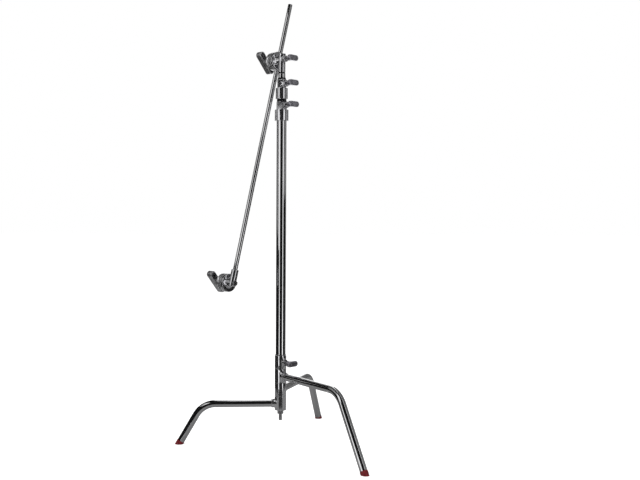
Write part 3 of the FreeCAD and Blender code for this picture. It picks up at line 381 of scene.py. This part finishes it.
FINISHES = {
    "chrome_tube": tube_chrome,
    "cast_chrome": casting_chrome,
    "head_casting": head_plate,
    "grey_enamel": handle_enamel,
    "plated_steel": hardware_steel,
    "black_nylon": bush_nylon,
    "red_rubber": foot_rubber,
    "brass_pad": pad_brass,
}
made_finishes = {}


def finish_for(slot):
    """The material of a slot, made the first time it is asked for."""
    if slot not in made_finishes:
        made_finishes[slot] = FINISHES[slot](bpy.context.scene.stand_finish)
    return made_finishes[slot]


# ---------------------------------------------------------------- modelling helpers

MERGE = 1e-6              # points closer than this are one point
CAD_MERGE = 2e-6          # the same, for the corners of a CAD node's loose triangles
CUT_MERGE = 1e-7          # the same, for points that lie on a cut
SHARP_ANGLE = 38          # degrees between two faces, past which their edge stays sharp
MACHINED_SHARP_ANGLE = 30
EASED_ANGLE = 35          # degrees between two faces, past which their edge is rounded
SMOOTHING = 0.5           # how far one pass moves a point towards its neighbours


def add_piece(name, mesh, node, sharp_degrees=SHARP_ANGLE, finish=None):
    """Puts a finished mesh in the scene in place of a CAD node, on that node's body."""
    mesh.name = name
    mesh.shade_smooth()
    mesh.set_sharp_from_angle(angle=math.radians(sharp_degrees))
    mesh.materials.clear()
    mesh.materials.append(finish_for(finish or SLOT_OF[node]))
    piece = bpy.data.objects.new(name, mesh)
    bpy.context.scene.collection.objects.link(piece)
    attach(piece, frame["nodes"][node]["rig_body"])
    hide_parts(node)
    return piece


def mesh_from(bm, place=None):
    """Ends a bmesh: merges doubles, puts it in place and turns its faces outwards."""
    bmesh.ops.remove_doubles(bm, verts=bm.verts, dist=MERGE)
    if place is not None:
        bmesh.ops.transform(bm, matrix=place, verts=bm.verts)
    bmesh.ops.recalc_face_normals(bm, faces=bm.faces)
    mesh = bpy.data.meshes.new("mesh")
    bm.to_mesh(mesh)
    bm.free()
    return mesh


def lathe(outline, steps, closed=False):
    """A solid of revolution about Z from (radius, height) corners."""
    bm = bmesh.new()
    corners = [bm.verts.new((radius, 0, height)) for radius, height in outline]
    ends = corners[1:] + corners[:1] if closed else corners[1:]
    edges = [bm.edges.new(pair) for pair in zip(corners, ends)]
    bmesh.ops.spin(bm, geom=corners + edges, cent=(0, 0, 0), axis=UP, angle=FULL_TURN,
                   steps=steps, use_merge=True, use_duplicate=False)
    bmesh.ops.remove_doubles(bm, verts=bm.verts, dist=MERGE)
    return bm


def soften(bm, width):
    """Rounds the edges where two faces meet at a clear angle."""
    edges = [edge for edge in bm.edges if len(edge.link_faces) == 2
             and edge.calc_face_angle(0) > math.radians(EASED_ANGLE)]
    bmesh.ops.bevel(bm, geom=edges, offset=width, affect="EDGES", segments=2, profile=0.5,
                    material=-1, clamp_overlap=True)


def cast_copy(node, voxel, passes):
    """A copy of a CAD node with its edges softened as a casting's are, by a number of smoothing passes."""
    source = frame["nodes"][node].data.copy()
    bm = bmesh.new()
    bm.from_mesh(source)
    bmesh.ops.remove_doubles(bm, verts=bm.verts, dist=MERGE)
    bm.to_mesh(source)
    bm.free()
    rough = bpy.data.objects.new("rough_" + node, source)
    bpy.context.scene.collection.objects.link(rough)
    grid = rough.modifiers.new("grid", "REMESH")
    grid.mode = "VOXEL"
    grid.voxel_size = voxel
    smooth = rough.modifiers.new("smooth", "SMOOTH")
    smooth.factor = SMOOTHING
    smooth.iterations = passes
    bpy.context.view_layer.update()
    evaluated = rough.evaluated_get(bpy.context.evaluated_depsgraph_get())
    mesh = bpy.data.meshes.new_from_object(evaluated)
    bpy.data.objects.remove(rough)
    return mesh


def clean_copy(node):
    """A copy of a CAD node with its loose triangles joined up."""
    mesh = frame["nodes"][node].data.copy()
    bm = bmesh.new()
    bm.from_mesh(mesh)
    bmesh.ops.remove_doubles(bm, verts=bm.verts, dist=CAD_MERGE)
    bmesh.ops.dissolve_degenerate(bm, edges=bm.edges, dist=MERGE)
    bm.to_mesh(mesh)
    bm.free()
    return mesh


def add_machined(node):
    """A cleaned copy of a node, with its flat faces kept flat and its round ones smooth."""
    piece = add_piece(node + "_finished", clean_copy(node), node, sharp_degrees=MACHINED_SHARP_ANGLE)
    weighted = piece.modifiers.new("flat_faces", "WEIGHTED_NORMAL")
    weighted.mode = "FACE_AREA_WITH_ANGLE"
    weighted.keep_sharp = True
    return piece


# ---------------------------------------------------------------- operators

class StandOperator(bpy.types.Operator):
    """What the stand's operators have alike"""
    bl_options = {"REGISTER", "UNDO"}


MACHINED = (
    "base_socket", "bottom_leg_collar", "middle_leg_collar", "top_leg_collar", "lower_clamp", "upper_clamp",
    "column_spigot", "base_bolt", "base_nut", "base_washer", "middle_leg_pin", "top_stud", "stud_ring",
    "lower_clamp_screw", "upper_clamp_screw", "lower_clamp_bush", "upper_clamp_bush", "middle_tube_guide",
    "inner_tube_guide", "stand_head_friction_disc", "end_head_friction_disc", "stand_head_thrust_bearing",
    "end_head_thrust_bearing", "end_head_bolt", "end_head_roll_pin", "stand_head_inner_jaw",
    "stand_head_outer_jaw", "end_head_inner_jaw", "end_head_outer_jaw", "base_lock_pad", "lower_lock_pad",
    "upper_lock_pad", "head_lock_pad",
)


class STAND_OT_machined(StandOperator):
    """Finish the turned and machined pieces, from the collars down to the small hardware"""
    bl_idname = "stand.machined"
    bl_label = "Turned and machined pieces"

    def execute(self, context):
        for node in MACHINED:
            add_machined(node)
        return {"FINISHED"}


TUBE_STEPS = 96
TUBE_EASE = 0.25 * MM


class STAND_OT_column(StandOperator):
    """Draw the three tubes of the column, with softened rims"""
    bl_idname = "stand.column"
    bl_label = "Column tubes"

    def execute(self, context):
        wall = context.scene.stand_parts.tube_wall
        for node in ("outer_tube", "middle_tube", "inner_tube"):
            low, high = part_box(node)
            middle = (low + high) / 2
            outline = tube_outline((high.x - low.x) / 2, wall, low.z, high.z)
            place = Matrix.Translation((middle.x, middle.y, 0))
            add_piece(node + "_drawn", mesh_from(lathe(outline, TUBE_STEPS, closed=True), place), node)
        return {"FINISHED"}


def tube_outline(radius, wall, bottom, top):
    """The section of a tube's wall, with its four corners eased."""
    bore = radius - wall
    return [(radius - TUBE_EASE, bottom), (radius, bottom + TUBE_EASE),
            (radius, top - TUBE_EASE), (radius - TUBE_EASE, top),
            (bore + TUBE_EASE, top), (bore, top - TUBE_EASE),
            (bore, bottom + TUBE_EASE), (bore + TUBE_EASE, bottom)]


ARM_STEPS = 72
ARM_CHAMFER = 1.0 * MM
ARM_RING_DEPTH = 0.35 * MM
ARM_RING_HALF = 1.0 * MM


class STAND_OT_arm(StandOperator):
    """Turn the grip arm, with its chamfered ends and its marking ring"""
    bl_idname = "stand.arm"
    bl_label = "Grip arm"

    def execute(self, context):
        parts = context.scene.stand_parts
        along = Vector(JOINTS["arm_slide"]["axis"]).normalized()
        side = along.cross(UP).normalized()
        place = basis(box_middle("grip_arm"), side, along)
        bottom, top = span("grip_arm", place, Z_AXIS)
        start, end = span("grip_arm", place, X_AXIS)
        outline = arm_outline((end - start) / 2, bottom, top, top - parts.arm_mark)
        add_piece("grip_arm_turned", mesh_from(lathe(outline, ARM_STEPS), place), "grip_arm")
        return {"FINISHED"}


def arm_outline(radius, bottom, top, mark):
    """Half the arm's section: two rounded chamfers, and a groove round it at the mark."""
    chamfer = ARM_CHAMFER
    bulge_in = 0.3 * chamfer
    bulge_along = 0.25 * chamfer
    floor = radius - ARM_RING_DEPTH
    return [(0, bottom), (radius - chamfer, bottom), (radius - bulge_in, bottom + bulge_along),
            (radius, bottom + chamfer),
            (radius, mark - ARM_RING_HALF), (floor, mark - ARM_RING_HALF + ARM_RING_DEPTH),
            (floor, mark + ARM_RING_HALF - ARM_RING_DEPTH), (radius, mark + ARM_RING_HALF),
            (radius, top - chamfer), (radius - bulge_in, top - bulge_along),
            (radius - chamfer, top), (0, top)]


LEG_STEPS = 64
LEG_BEND_STEPS = 40


class STAND_OT_legs(StandOperator):
    """Bend the three legs from straight tube"""
    bl_idname = "stand.legs"
    bl_label = "Leg tubes"

    def execute(self, context):
        parts = context.scene.stand_parts
        for leg in LEGS:
            add_piece(leg + "_leg_tube_bent", leg_mesh(leg, parts), leg + "_leg_tube")
        return {"FINISHED"}


def leg_mesh(leg, parts):
    """A ring carried out level, round the bend, down the slope and cut off level above the sole."""
    node = leg + "_leg_tube"
    low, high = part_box(node)
    meeting, _ = leg_line(leg)
    outward = meeting - column_axis()
    reach = outward.length
    place = basis(column_axis(), outward.normalized(), UP)
    radius = parts.leg_radius
    level = high.z - radius
    knee = reach - level / math.tan(parts.leg_slope)
    tangent = parts.leg_bend * math.tan(parts.leg_slope / 2)
    start, _ = span(node, place, X_AXIS)
    bm = bmesh.new()
    ring = bmesh.ops.create_circle(bm, segments=LEG_STEPS, radius=radius)["verts"]
    bmesh.ops.rotate(bm, verts=ring, cent=(0, 0, 0), matrix=Matrix.Rotation(QUARTER_TURN, 3, "Y"))
    bmesh.ops.translate(bm, verts=ring, vec=(start, 0, level))
    edges = extruded(bm, bm.edges[:], Vector((knee - tangent - start, 0, 0)))
    bent = bmesh.ops.spin(bm, geom=edges, cent=(knee - tangent, 0, level - parts.leg_bend), axis=(0, 1, 0),
                          angle=parts.leg_slope, steps=LEG_BEND_STEPS, use_merge=False,
                          use_duplicate=False)
    edges = [item for item in bent["geom_last"] if isinstance(item, bmesh.types.BMEdge)]
    slope = Vector((math.cos(parts.leg_slope), 0, -math.sin(parts.leg_slope)))
    extruded(bm, edges, slope * (level / math.sin(parts.leg_slope)))
    bmesh.ops.bisect_plane(bm, geom=bm.verts[:] + bm.edges[:] + bm.faces[:], dist=CUT_MERGE,
                           plane_co=(0, 0, low.z), plane_no=-UP, clear_outer=True)
    bmesh.ops.recalc_face_normals(bm, faces=bm.faces)
    bmesh.ops.solidify(bm, geom=bm.faces[:], thickness=parts.leg_wall)
    return mesh_from(bm, place)


def extruded(bm, edges, travel):
    """Draws edges out along a vector and gives the edges at the far end."""
    made = bmesh.ops.extrude_edge_only(bm, edges=edges)["geom"]
    verts = [item for item in made if isinstance(item, bmesh.types.BMVert)]
    bmesh.ops.translate(bm, verts=verts, vec=travel)
    return [item for item in made if isinstance(item, bmesh.types.BMEdge)
            and all(vert in verts for vert in item.verts)]


KNOB_PASSES = 5
BODY_PASSES = 3
HANDLE_PASSES = 4
HANDLE_DETAIL = 0.8       # the handles' grid against the heads'


class STAND_OT_castings(StandOperator):
    """Replace the knobs, handles and head castings with softened copies"""
    bl_idname = "stand.castings"
    bl_label = "Cast the knobs, handles and heads"

    def execute(self, context):
        voxel = context.scene.stand_parts.casting_voxel
        for head in HEADS:
            add_piece(head + "_knob_cast", cast_copy(head + "_knob", voxel, KNOB_PASSES), head + "_knob")
            body = cast_copy(head + "_body", voxel, BODY_PASSES)
            add_piece(head + "_body_cast", body, head + "_body", finish="cast_chrome")
        for station in STATIONS:
            node = station + "_lock_handle"
            add_piece(node + "_cast", cast_copy(node, voxel * HANDLE_DETAIL, HANDLE_PASSES), node)
        return {"FINISHED"}


FOOT_STEPS = 72
FOOT_BORE = 12.75 * MM    # radius of the hole for the leg
FOOT_BORE_END = 9.5 * MM  # where that hole ends, from the middle of the sole up along the leg
FOOT_DEPTH = 24 * MM      # how far the cap runs on down from the sole's middle, before it is cut level
FOOT_RIBS = (0.18, 0.52)  # where the ribs start, as shares of the foot's height
FOOT_RIB_RISE = 0.35 * MM
FOOT_EASE = 0.25 * MM
SOLE_INSET = 1.0 * MM


class STAND_OT_feet(StandOperator):
    """Put a ribbed rubber foot on each leg"""
    bl_idname = "stand.feet"
    bl_label = "Rubber feet"

    def execute(self, context):
        parts = context.scene.stand_parts
        for leg in LEGS:
            node = leg + "_leg_foot"
            mesh = foot_mesh(node, parts.foot_radius, parts.foot_height)
            add_piece(node + "_rubber", mesh, node)
        return {"FINISHED"}


def foot_mesh(node, radius, height):
    """A cap with two shallow ribs, a rolled rim and a flat sole, cut off level with the floor."""
    meeting, along = leg_line(node.split("_")[0])
    bm = lathe(foot_outline(radius, height), FOOT_STEPS)
    soften(bm, FOOT_EASE)
    side = along.cross(UP).normalized()
    bmesh.ops.transform(bm, matrix=basis(meeting, side, along), verts=bm.verts)
    cut = bmesh.ops.bisect_plane(bm, geom=bm.verts[:] + bm.edges[:] + bm.faces[:], dist=CUT_MERGE,
                                 plane_co=(0, 0, 0), plane_no=-UP, clear_outer=True)
    rim = [item for item in cut["geom_cut"] if isinstance(item, bmesh.types.BMEdge)]
    sole = bmesh.ops.contextual_create(bm, geom=rim)["faces"]
    bmesh.ops.inset_region(bm, faces=sole, thickness=SOLE_INSET, depth=0)
    return mesh_from(bm)


def foot_outline(radius, height):
    """Half the foot's section, from the cap's lower end over its ribs and rim into the hole for the leg."""
    outline = [(0, -FOOT_DEPTH), (radius, -FOOT_DEPTH)]
    for share_of_height in FOOT_RIBS:
        start = height * share_of_height
        crest = radius + FOOT_RIB_RISE
        outline += [(radius, start), (crest, start + 0.6 * MM),
                    (crest, start + 2.2 * MM), (radius, start + 2.8 * MM)]
    outline += [(radius, height - 1.2 * MM), (radius - 0.35 * MM, height - 0.35 * MM),
                (radius - 0.9 * MM, height), (FOOT_BORE, height - 0.2 * MM),
                (FOOT_BORE, FOOT_BORE_END), (0, FOOT_BORE_END)]
    return outline


THREAD_STEPS = 28         # round one turn of a thread
SHANK_STEPS = 40
SCREW_PLAIN_END = 1.4 * MM
SCREW_CHAMFER = 0.6 * MM
THREAD_RUN_OUT = 0.4 * MM
SHANK_SINK = 0.02 * MM    # how far the shank lies below the thread's root


class STAND_OT_threads(StandOperator):
    """Cut threads on the locking screws and on the bolt of the stand's head"""
    bl_idname = "stand.threads"
    bl_label = "Threads"

    def execute(self, context):
        parts = context.scene.stand_parts
        for station in STATIONS:
            node = station + "_lock_screw"
            add_piece(node + "_threaded", threaded_mesh(node, station + "_lock_turn", parts), node)
        node = "stand_head_bolt"
        add_piece(node + "_threaded", threaded_mesh(node, "stand_head_knob_turn", parts), node)
        return {"FINISHED"}


def threaded_mesh(node, joint_name, parts):
    """A screw about a hinge's axis: a thread with plain ends, wound round a shank."""
    place = screw_basis(joint_name)
    start, end = span(node, place, X_AXIS)
    low, high = span(node, place, Z_AXIS)
    radius = (high - low) / 2
    pitch = parts.thread_pitch
    core = radius - parts.thread_depth
    turns = int((end - start - 2 * SCREW_PLAIN_END) / pitch) - 1
    lead = (end - start - turns * pitch - pitch) / 2
    bm = wound_thread(core, radius, pitch, turns)
    bmesh.ops.translate(bm, vec=(0, 0, start + lead), verts=bm.verts)
    shank = lathe(shank_outline(core, radius, start, end, lead), SHANK_STEPS)
    spare = bpy.data.meshes.new("shank")
    shank.to_mesh(spare)
    shank.free()
    bm.from_mesh(spare)
    bpy.data.meshes.remove(spare)
    return mesh_from(bm, place @ Matrix.Rotation(QUARTER_TURN, 4, "Y"))


def wound_thread(core, radius, pitch, turns):
    """One tooth of a thread, swept up about Z in a helix."""
    bm = bmesh.new()
    tooth = [(core, 0), (radius, 0.30 * pitch), (radius, 0.45 * pitch), (core, 0.75 * pitch), (core, pitch)]
    corners = [bm.verts.new((reach, 0, height)) for reach, height in tooth]
    edges = [bm.edges.new(pair) for pair in zip(corners, corners[1:])]
    bmesh.ops.spin(bm, geom=corners + edges, cent=(0, 0, 0), axis=UP, angle=FULL_TURN * turns,
                   steps=THREAD_STEPS * turns, dvec=(0, 0, pitch / THREAD_STEPS), use_merge=False,
                   use_duplicate=False)
    return bm


def shank_outline(core, radius, start, end, lead):
    """Half a screw's section: plain chamfered ends as thick as the thread, and the core between them."""
    tip = radius - SCREW_CHAMFER
    root = core - SHANK_SINK
    return [(0, start), (tip, start), (radius, start + SCREW_CHAMFER),
            (radius, start + lead), (root, start + lead + THREAD_RUN_OUT),
            (root, end - lead - THREAD_RUN_OUT), (radius, end - lead),
            (radius, end - SCREW_CHAMFER), (tip, end), (0, end)]


SPRING_TURNS = 4
SPRING_STEPS = 36 * SPRING_TURNS
WIRE_STEPS = 10


class STAND_OT_springs(StandOperator):
    """Wind the springs from round wire"""
    bl_idname = "stand.springs"
    bl_label = "Springs"

    def execute(self, context):
        wire = context.scene.stand_parts.spring_wire
        for head in HEADS:
            node = head + "_jaw_spring"
            place = screw_basis(head + "_knob_turn")
            start, end = span(node, place, X_AXIS)
            low, high = span(node, place, Z_AXIS)
            turned = place @ Matrix.Rotation(QUARTER_TURN, 4, "Y")
            add_piece(node + "_wound", spring_mesh((high - low) / 2 - wire, wire, start, end, turned), node)
        low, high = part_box("base_spring")
        middle = (low + high) / 2
        place = Matrix.Translation((middle.x, middle.y, 0))
        mesh = spring_mesh((high.x - low.x) / 2 - wire, wire, low.z, high.z, place)
        add_piece("base_spring_wound", mesh, "base_spring")
        return {"FINISHED"}


def spring_mesh(coil_radius, wire, start, end, place):
    """A coil of round wire between two planes, with closed ends."""
    bm = bmesh.new()
    ring = bmesh.ops.create_circle(bm, segments=WIRE_STEPS, radius=wire, cap_ends=True)["verts"]
    bmesh.ops.rotate(bm, verts=ring, cent=(0, 0, 0), matrix=Matrix.Rotation(QUARTER_TURN, 3, "X"))
    bmesh.ops.translate(bm, verts=ring, vec=(coil_radius, 0, start + wire))
    rise = (end - start - 2 * wire) / SPRING_STEPS
    bmesh.ops.spin(bm, geom=bm.verts[:] + bm.edges[:] + bm.faces[:], cent=(0, 0, 0), axis=UP,
                   angle=FULL_TURN * SPRING_TURNS, steps=SPRING_STEPS, dvec=(0, 0, rise),
                   use_merge=False, use_duplicate=False)
    return mesh_from(bm, place)


# ---------------------------------------------------------------- stage

class STAND_OT_stage(StandOperator):
    """Set the floor, the cards, the lamps, the white surround and the camera"""
    bl_idname = "stand.stage"
    bl_label = "Stage"

    def execute(self, context):
        stage = context.scene.stand_stage
        build_floor(stage)
        build_cards()
        build_lamps()
        build_sky(stage)
        build_camera(stage)
        context.scene.view_settings.view_transform = "Standard"
        return {"FINISHED"}


def seen_background(tree):
    """1 for what the camera, a reflection or a refraction sees directly, else 0."""
    path = tree.nodes.new("ShaderNodeLightPath")
    first = tree.nodes.new("ShaderNodeMath")
    first.operation = "MAXIMUM"
    second = tree.nodes.new("ShaderNodeMath")
    second.operation = "MAXIMUM"
    tree.links.new(path.outputs["Is Camera Ray"], first.inputs[0])
    tree.links.new(path.outputs["Is Glossy Ray"], first.inputs[1])
    tree.links.new(first.outputs[0], second.inputs[0])
    tree.links.new(path.outputs["Is Transmission Ray"], second.inputs[1])
    return second.outputs[0]


PAPER_REACH = 30.0        # from the middle of the paper to its edge
PAPER_DROP = 0.2 * MM     # how far the paper lies below the soles
CARD_DROP = 0.1 * MM      # how far the cards are let down, so that one lying flat is below them too
PAPER_ROUGHNESS = 0.9


def build_floor(stage):
    """A wide sheet of white paper that keeps the stand's shadow."""
    bm = bmesh.new()
    bmesh.ops.create_grid(bm, x_segments=8, y_segments=8, size=PAPER_REACH)
    bmesh.ops.translate(bm, verts=bm.verts, vec=(0, 0, -PAPER_DROP))
    mesh = bpy.data.meshes.new("paper_floor")
    bm.to_mesh(mesh)
    bm.free()
    material, tree, shader = new_material("paper")
    fibres = object_noise(tree, 30.0, 5.0)
    colours = tinted(tree, fibres, shade(stage.paper, 0.99), shade(stage.paper, 1.01))
    tree.links.new(colours, shader.inputs["Base Color"])
    shader.inputs["Roughness"].default_value = PAPER_ROUGHNESS
    shader.inputs["Specular IOR Level"].default_value = 0.1
    shader.inputs["Emission Color"].default_value = (1, 1, 1, 1)
    glow = remap(tree, seen_background(tree), 0.0, stage.paper_glow, given=(0.0, 1.0))
    tree.links.new(glow, shader.inputs["Emission Strength"])
    mesh.materials.append(material)
    floor = bpy.data.objects.new("paper_floor", mesh)
    bpy.context.scene.collection.objects.link(floor)


# Cards round the set: where each starts and ends, in degrees to the right of the line from the column to
# the camera, the heights between which it stands, in degrees above the floor, and how bright it is. A card
# whose lowest height is 0 covers the floor too, out from the edge of the grey card under the stand.
BLACK = 0.010
CARDS = (
    ("front", -29, 33, 0, 86, BLACK),
    ("upper_front", 33, 46, 26, 86, BLACK),
    ("notch", -43, -29, 21, 32, BLACK),
    ("upper_left", -112, -29, 60, 86, BLACK),
    ("left", -112, -62, 8, 60, 0.30),
    ("lower_left", -112, -62, 0, 8, BLACK),
    ("behind_left", -168, -112, 0, 86, BLACK),
    ("right", 53, 80, 12, 26, 0.16),
    ("side", 80, 112, 12, 26, 0.30),
    ("lower_right", 50, 112, 0, 12, BLACK),
    ("upper_right", 54, 112, 26, 86, 0.14),
    ("behind_right", 112, 168, 0, 86, 0.16),
)
CARD_DISTANCE = 4.6
CARD_BENDS = 8            # straight runs between a card's lowest and highest height
CARD_STEPS = 24           # straight runs from its start to its end

UNDER_REACH = 1.0         # radius of the grey card under the stand
UNDER_HOLE = 0.02
UNDER_GREY = 0.21

# A black mat that lies on that card's outer part, in front of the post
MAT_SPAN = (-35, 40)
MAT_START = 0.60
MAT_RISE = 0.2 * MM

# A black card that stands round the foot of the bottom leg
FLAG_SPAN = (-115, -12)
FLAG_DISTANCE = 0.5
FLAG_HEIGHTS = (0.02, 0.66)


def card_mesh(start, end, outline, centre):
    """A card bent round a point: an outline of distances and heights, turned through a span of degrees."""
    bm = bmesh.new()
    turn = Matrix.Rotation(math.radians(start), 3, "Z")
    corners = [bm.verts.new(turn @ Vector((0, -reach, level))) for reach, level in outline]
    edges = [bm.edges.new(pair) for pair in zip(corners, corners[1:])]
    bmesh.ops.spin(bm, geom=corners + edges, cent=(0, 0, 0), axis=UP,
                   angle=math.radians(end - start), steps=CARD_STEPS, use_merge=False, use_duplicate=False)
    bmesh.ops.translate(bm, vec=centre - CARD_DROP * UP, verts=bm.verts)
    mesh = bpy.data.meshes.new("card")
    bm.to_mesh(mesh)
    bm.free()
    return mesh


def card_material(name, value):
    material, tree, shader = new_material(name)
    fibres = object_noise(tree, 4.0, 3.0)
    grey = (value, value, value)
    colours = tinted(tree, fibres, shade(grey, 0.8), shade(grey, 1.2))
    tree.links.new(colours, shader.inputs["Base Color"])
    shader.inputs["Roughness"].default_value = PAPER_ROUGHNESS
    shader.inputs["Specular IOR Level"].default_value = 0.0
    return material


def add_card(name, mesh, value):
    """A card that only reflections see."""
    mesh.materials.append(card_material(name, value))
    card = bpy.data.objects.new(name, mesh)
    bpy.context.scene.collection.objects.link(card)
    card.visible_camera = False
    card.visible_diffuse = False
    card.visible_shadow = False
    card.visible_transmission = False


def build_cards():
    """Cards round the set, under it and in front of it draw the dark and grey bands in the plate."""
    for name, start, end, low, high, value in CARDS:
        outline = [] if low else [(UNDER_REACH, 0.0)]
        for step in range(CARD_BENDS + 1):
            rise = math.radians(low + (high - low) * step / CARD_BENDS)
            outline.append((CARD_DISTANCE * math.cos(rise), CARD_DISTANCE * math.sin(rise)))
        add_card(name + "_card", card_mesh(start, end, outline, column_axis()), value)
    flag_outline = [(FLAG_DISTANCE, height) for height in FLAG_HEIGHTS]
    meeting, _ = leg_line("bottom")
    add_card("leg_flag", card_mesh(*FLAG_SPAN, flag_outline, meeting), BLACK)
    under_outline = [(UNDER_HOLE, 0.0), (UNDER_REACH, 0.0)]
    add_card("under_card", card_mesh(0, 360, under_outline, column_axis()), UNDER_GREY)
    mat_outline = [(MAT_START, MAT_RISE), (UNDER_REACH, MAT_RISE)]
    add_card("front_mat", card_mesh(*MAT_SPAN, mat_outline, column_axis()), BLACK)


# Name, azimuth and height in degrees, distance, width and power
LAMPS = (
    ("key", -58, 42, 4.0, 1.6, 60.0),
    ("fill", 24, 30, 4.2, 1.2, 24.0),
    ("rim", 95, 35, 4.0, 1.0, 26.0),
    ("top", 0, 88, 4.2, 2.6, 40.0),
)
LAMP_AIM = 0.75           # height of the point that the lamps face
LAMP_ASPECT = 1.6         # a lamp's height against its width


def build_lamps():
    """Soft lamps that light the stand, and that its plate doesn't show."""
    middle = column_axis() + Vector((0, 0, LAMP_AIM))
    for name, azimuth, elevation, distance, width, power in LAMPS:
        lamp = bpy.data.lights.new(name, "AREA")
        lamp.shape = "RECTANGLE"
        lamp.size = width
        lamp.size_y = width * LAMP_ASPECT
        lamp.energy = power
        holder = bpy.data.objects.new(name, lamp)
        bpy.context.scene.collection.objects.link(holder)
        holder.visible_glossy = False
        level = Matrix.Rotation(math.radians(azimuth), 3, "Z") @ Vector((0, -1, 0))
        toward = level * math.cos(math.radians(elevation)) + UP * math.sin(math.radians(elevation))
        holder.location = middle + toward * distance
        holder.rotation_euler = toward.to_track_quat("Z", "Y").to_euler()


def build_sky(stage):
    """An even white surround: full white to the eye and in reflections, dimmer as light."""
    world = bpy.data.worlds.new("studio")
    bpy.context.scene.world = world
    world.use_nodes = True
    tree = world.node_tree
    background = tree.nodes["Background"]
    background.inputs["Color"].default_value = (1, 1, 1, 1)
    strength = remap(tree, seen_background(tree), stage.sky_light, 1.0, given=(0.0, 1.0))
    tree.links.new(strength, background.inputs["Strength"])


SENSOR_WIDTH = 36.0       # in millimetres, as the lens is
VIEW_END = 100.0


def build_camera(stage):
    """A camera that looks level at the stand, with its lens shifted to frame it."""
    data = bpy.data.cameras.new("camera")
    data.lens = stage.lens
    data.sensor_width = SENSOR_WIDTH
    data.shift_x = stage.shift_x
    data.shift_y = stage.shift_y
    data.clip_end = VIEW_END
    camera = bpy.data.objects.new("camera", data)
    bpy.context.scene.collection.objects.link(camera)
    from_column = Vector((stage.camera_side, -stage.camera_distance, stage.camera_height))
    camera.location = column_axis() + from_column
    camera.rotation_euler = (QUARTER_TURN, -stage.camera_roll, 0)
    bpy.context.scene.camera = camera


# ---------------------------------------------------------------- panel

OPERATORS = (
    STAND_OT_machined,
    STAND_OT_column,
    STAND_OT_arm,
    STAND_OT_legs,
    STAND_OT_castings,
    STAND_OT_feet,
    STAND_OT_threads,
    STAND_OT_springs,
    STAND_OT_stage,
)


class STAND_PT_panel(bpy.types.Panel):
    """The stand's pieces, in the order they are made"""
    bl_label = "C-stand"
    bl_idname = "STAND_PT_panel"
    bl_space_type = "VIEW_3D"
    bl_region_type = "UI"
    bl_category = "C-stand"

    def draw(self, context):
        for operator in OPERATORS:
            self.layout.operator(operator.bl_idname)


CLASSES = (FinishSettings, PartSettings, StageSettings) + OPERATORS + (STAND_PT_panel,)


def register():
    for cls in CLASSES:
        bpy.utils.register_class(cls)
    bpy.types.Scene.stand_finish = bpy.props.PointerProperty(type=FinishSettings)
    bpy.types.Scene.stand_parts = bpy.props.PointerProperty(type=PartSettings)
    bpy.types.Scene.stand_stage = bpy.props.PointerProperty(type=StageSettings)


def unregister():
    del bpy.types.Scene.stand_stage
    del bpy.types.Scene.stand_parts
    del bpy.types.Scene.stand_finish
    for cls in reversed(CLASSES):
        bpy.utils.unregister_class(cls)


def main():
    register()
    bpy.ops.stand.machined()
    bpy.ops.stand.column()
    bpy.ops.stand.arm()
    bpy.ops.stand.legs()
    bpy.ops.stand.castings()
    bpy.ops.stand.feet()
    bpy.ops.stand.threads()
    bpy.ops.stand.springs()
    bpy.ops.stand.stage()


if __name__ == "__main__":
    main()
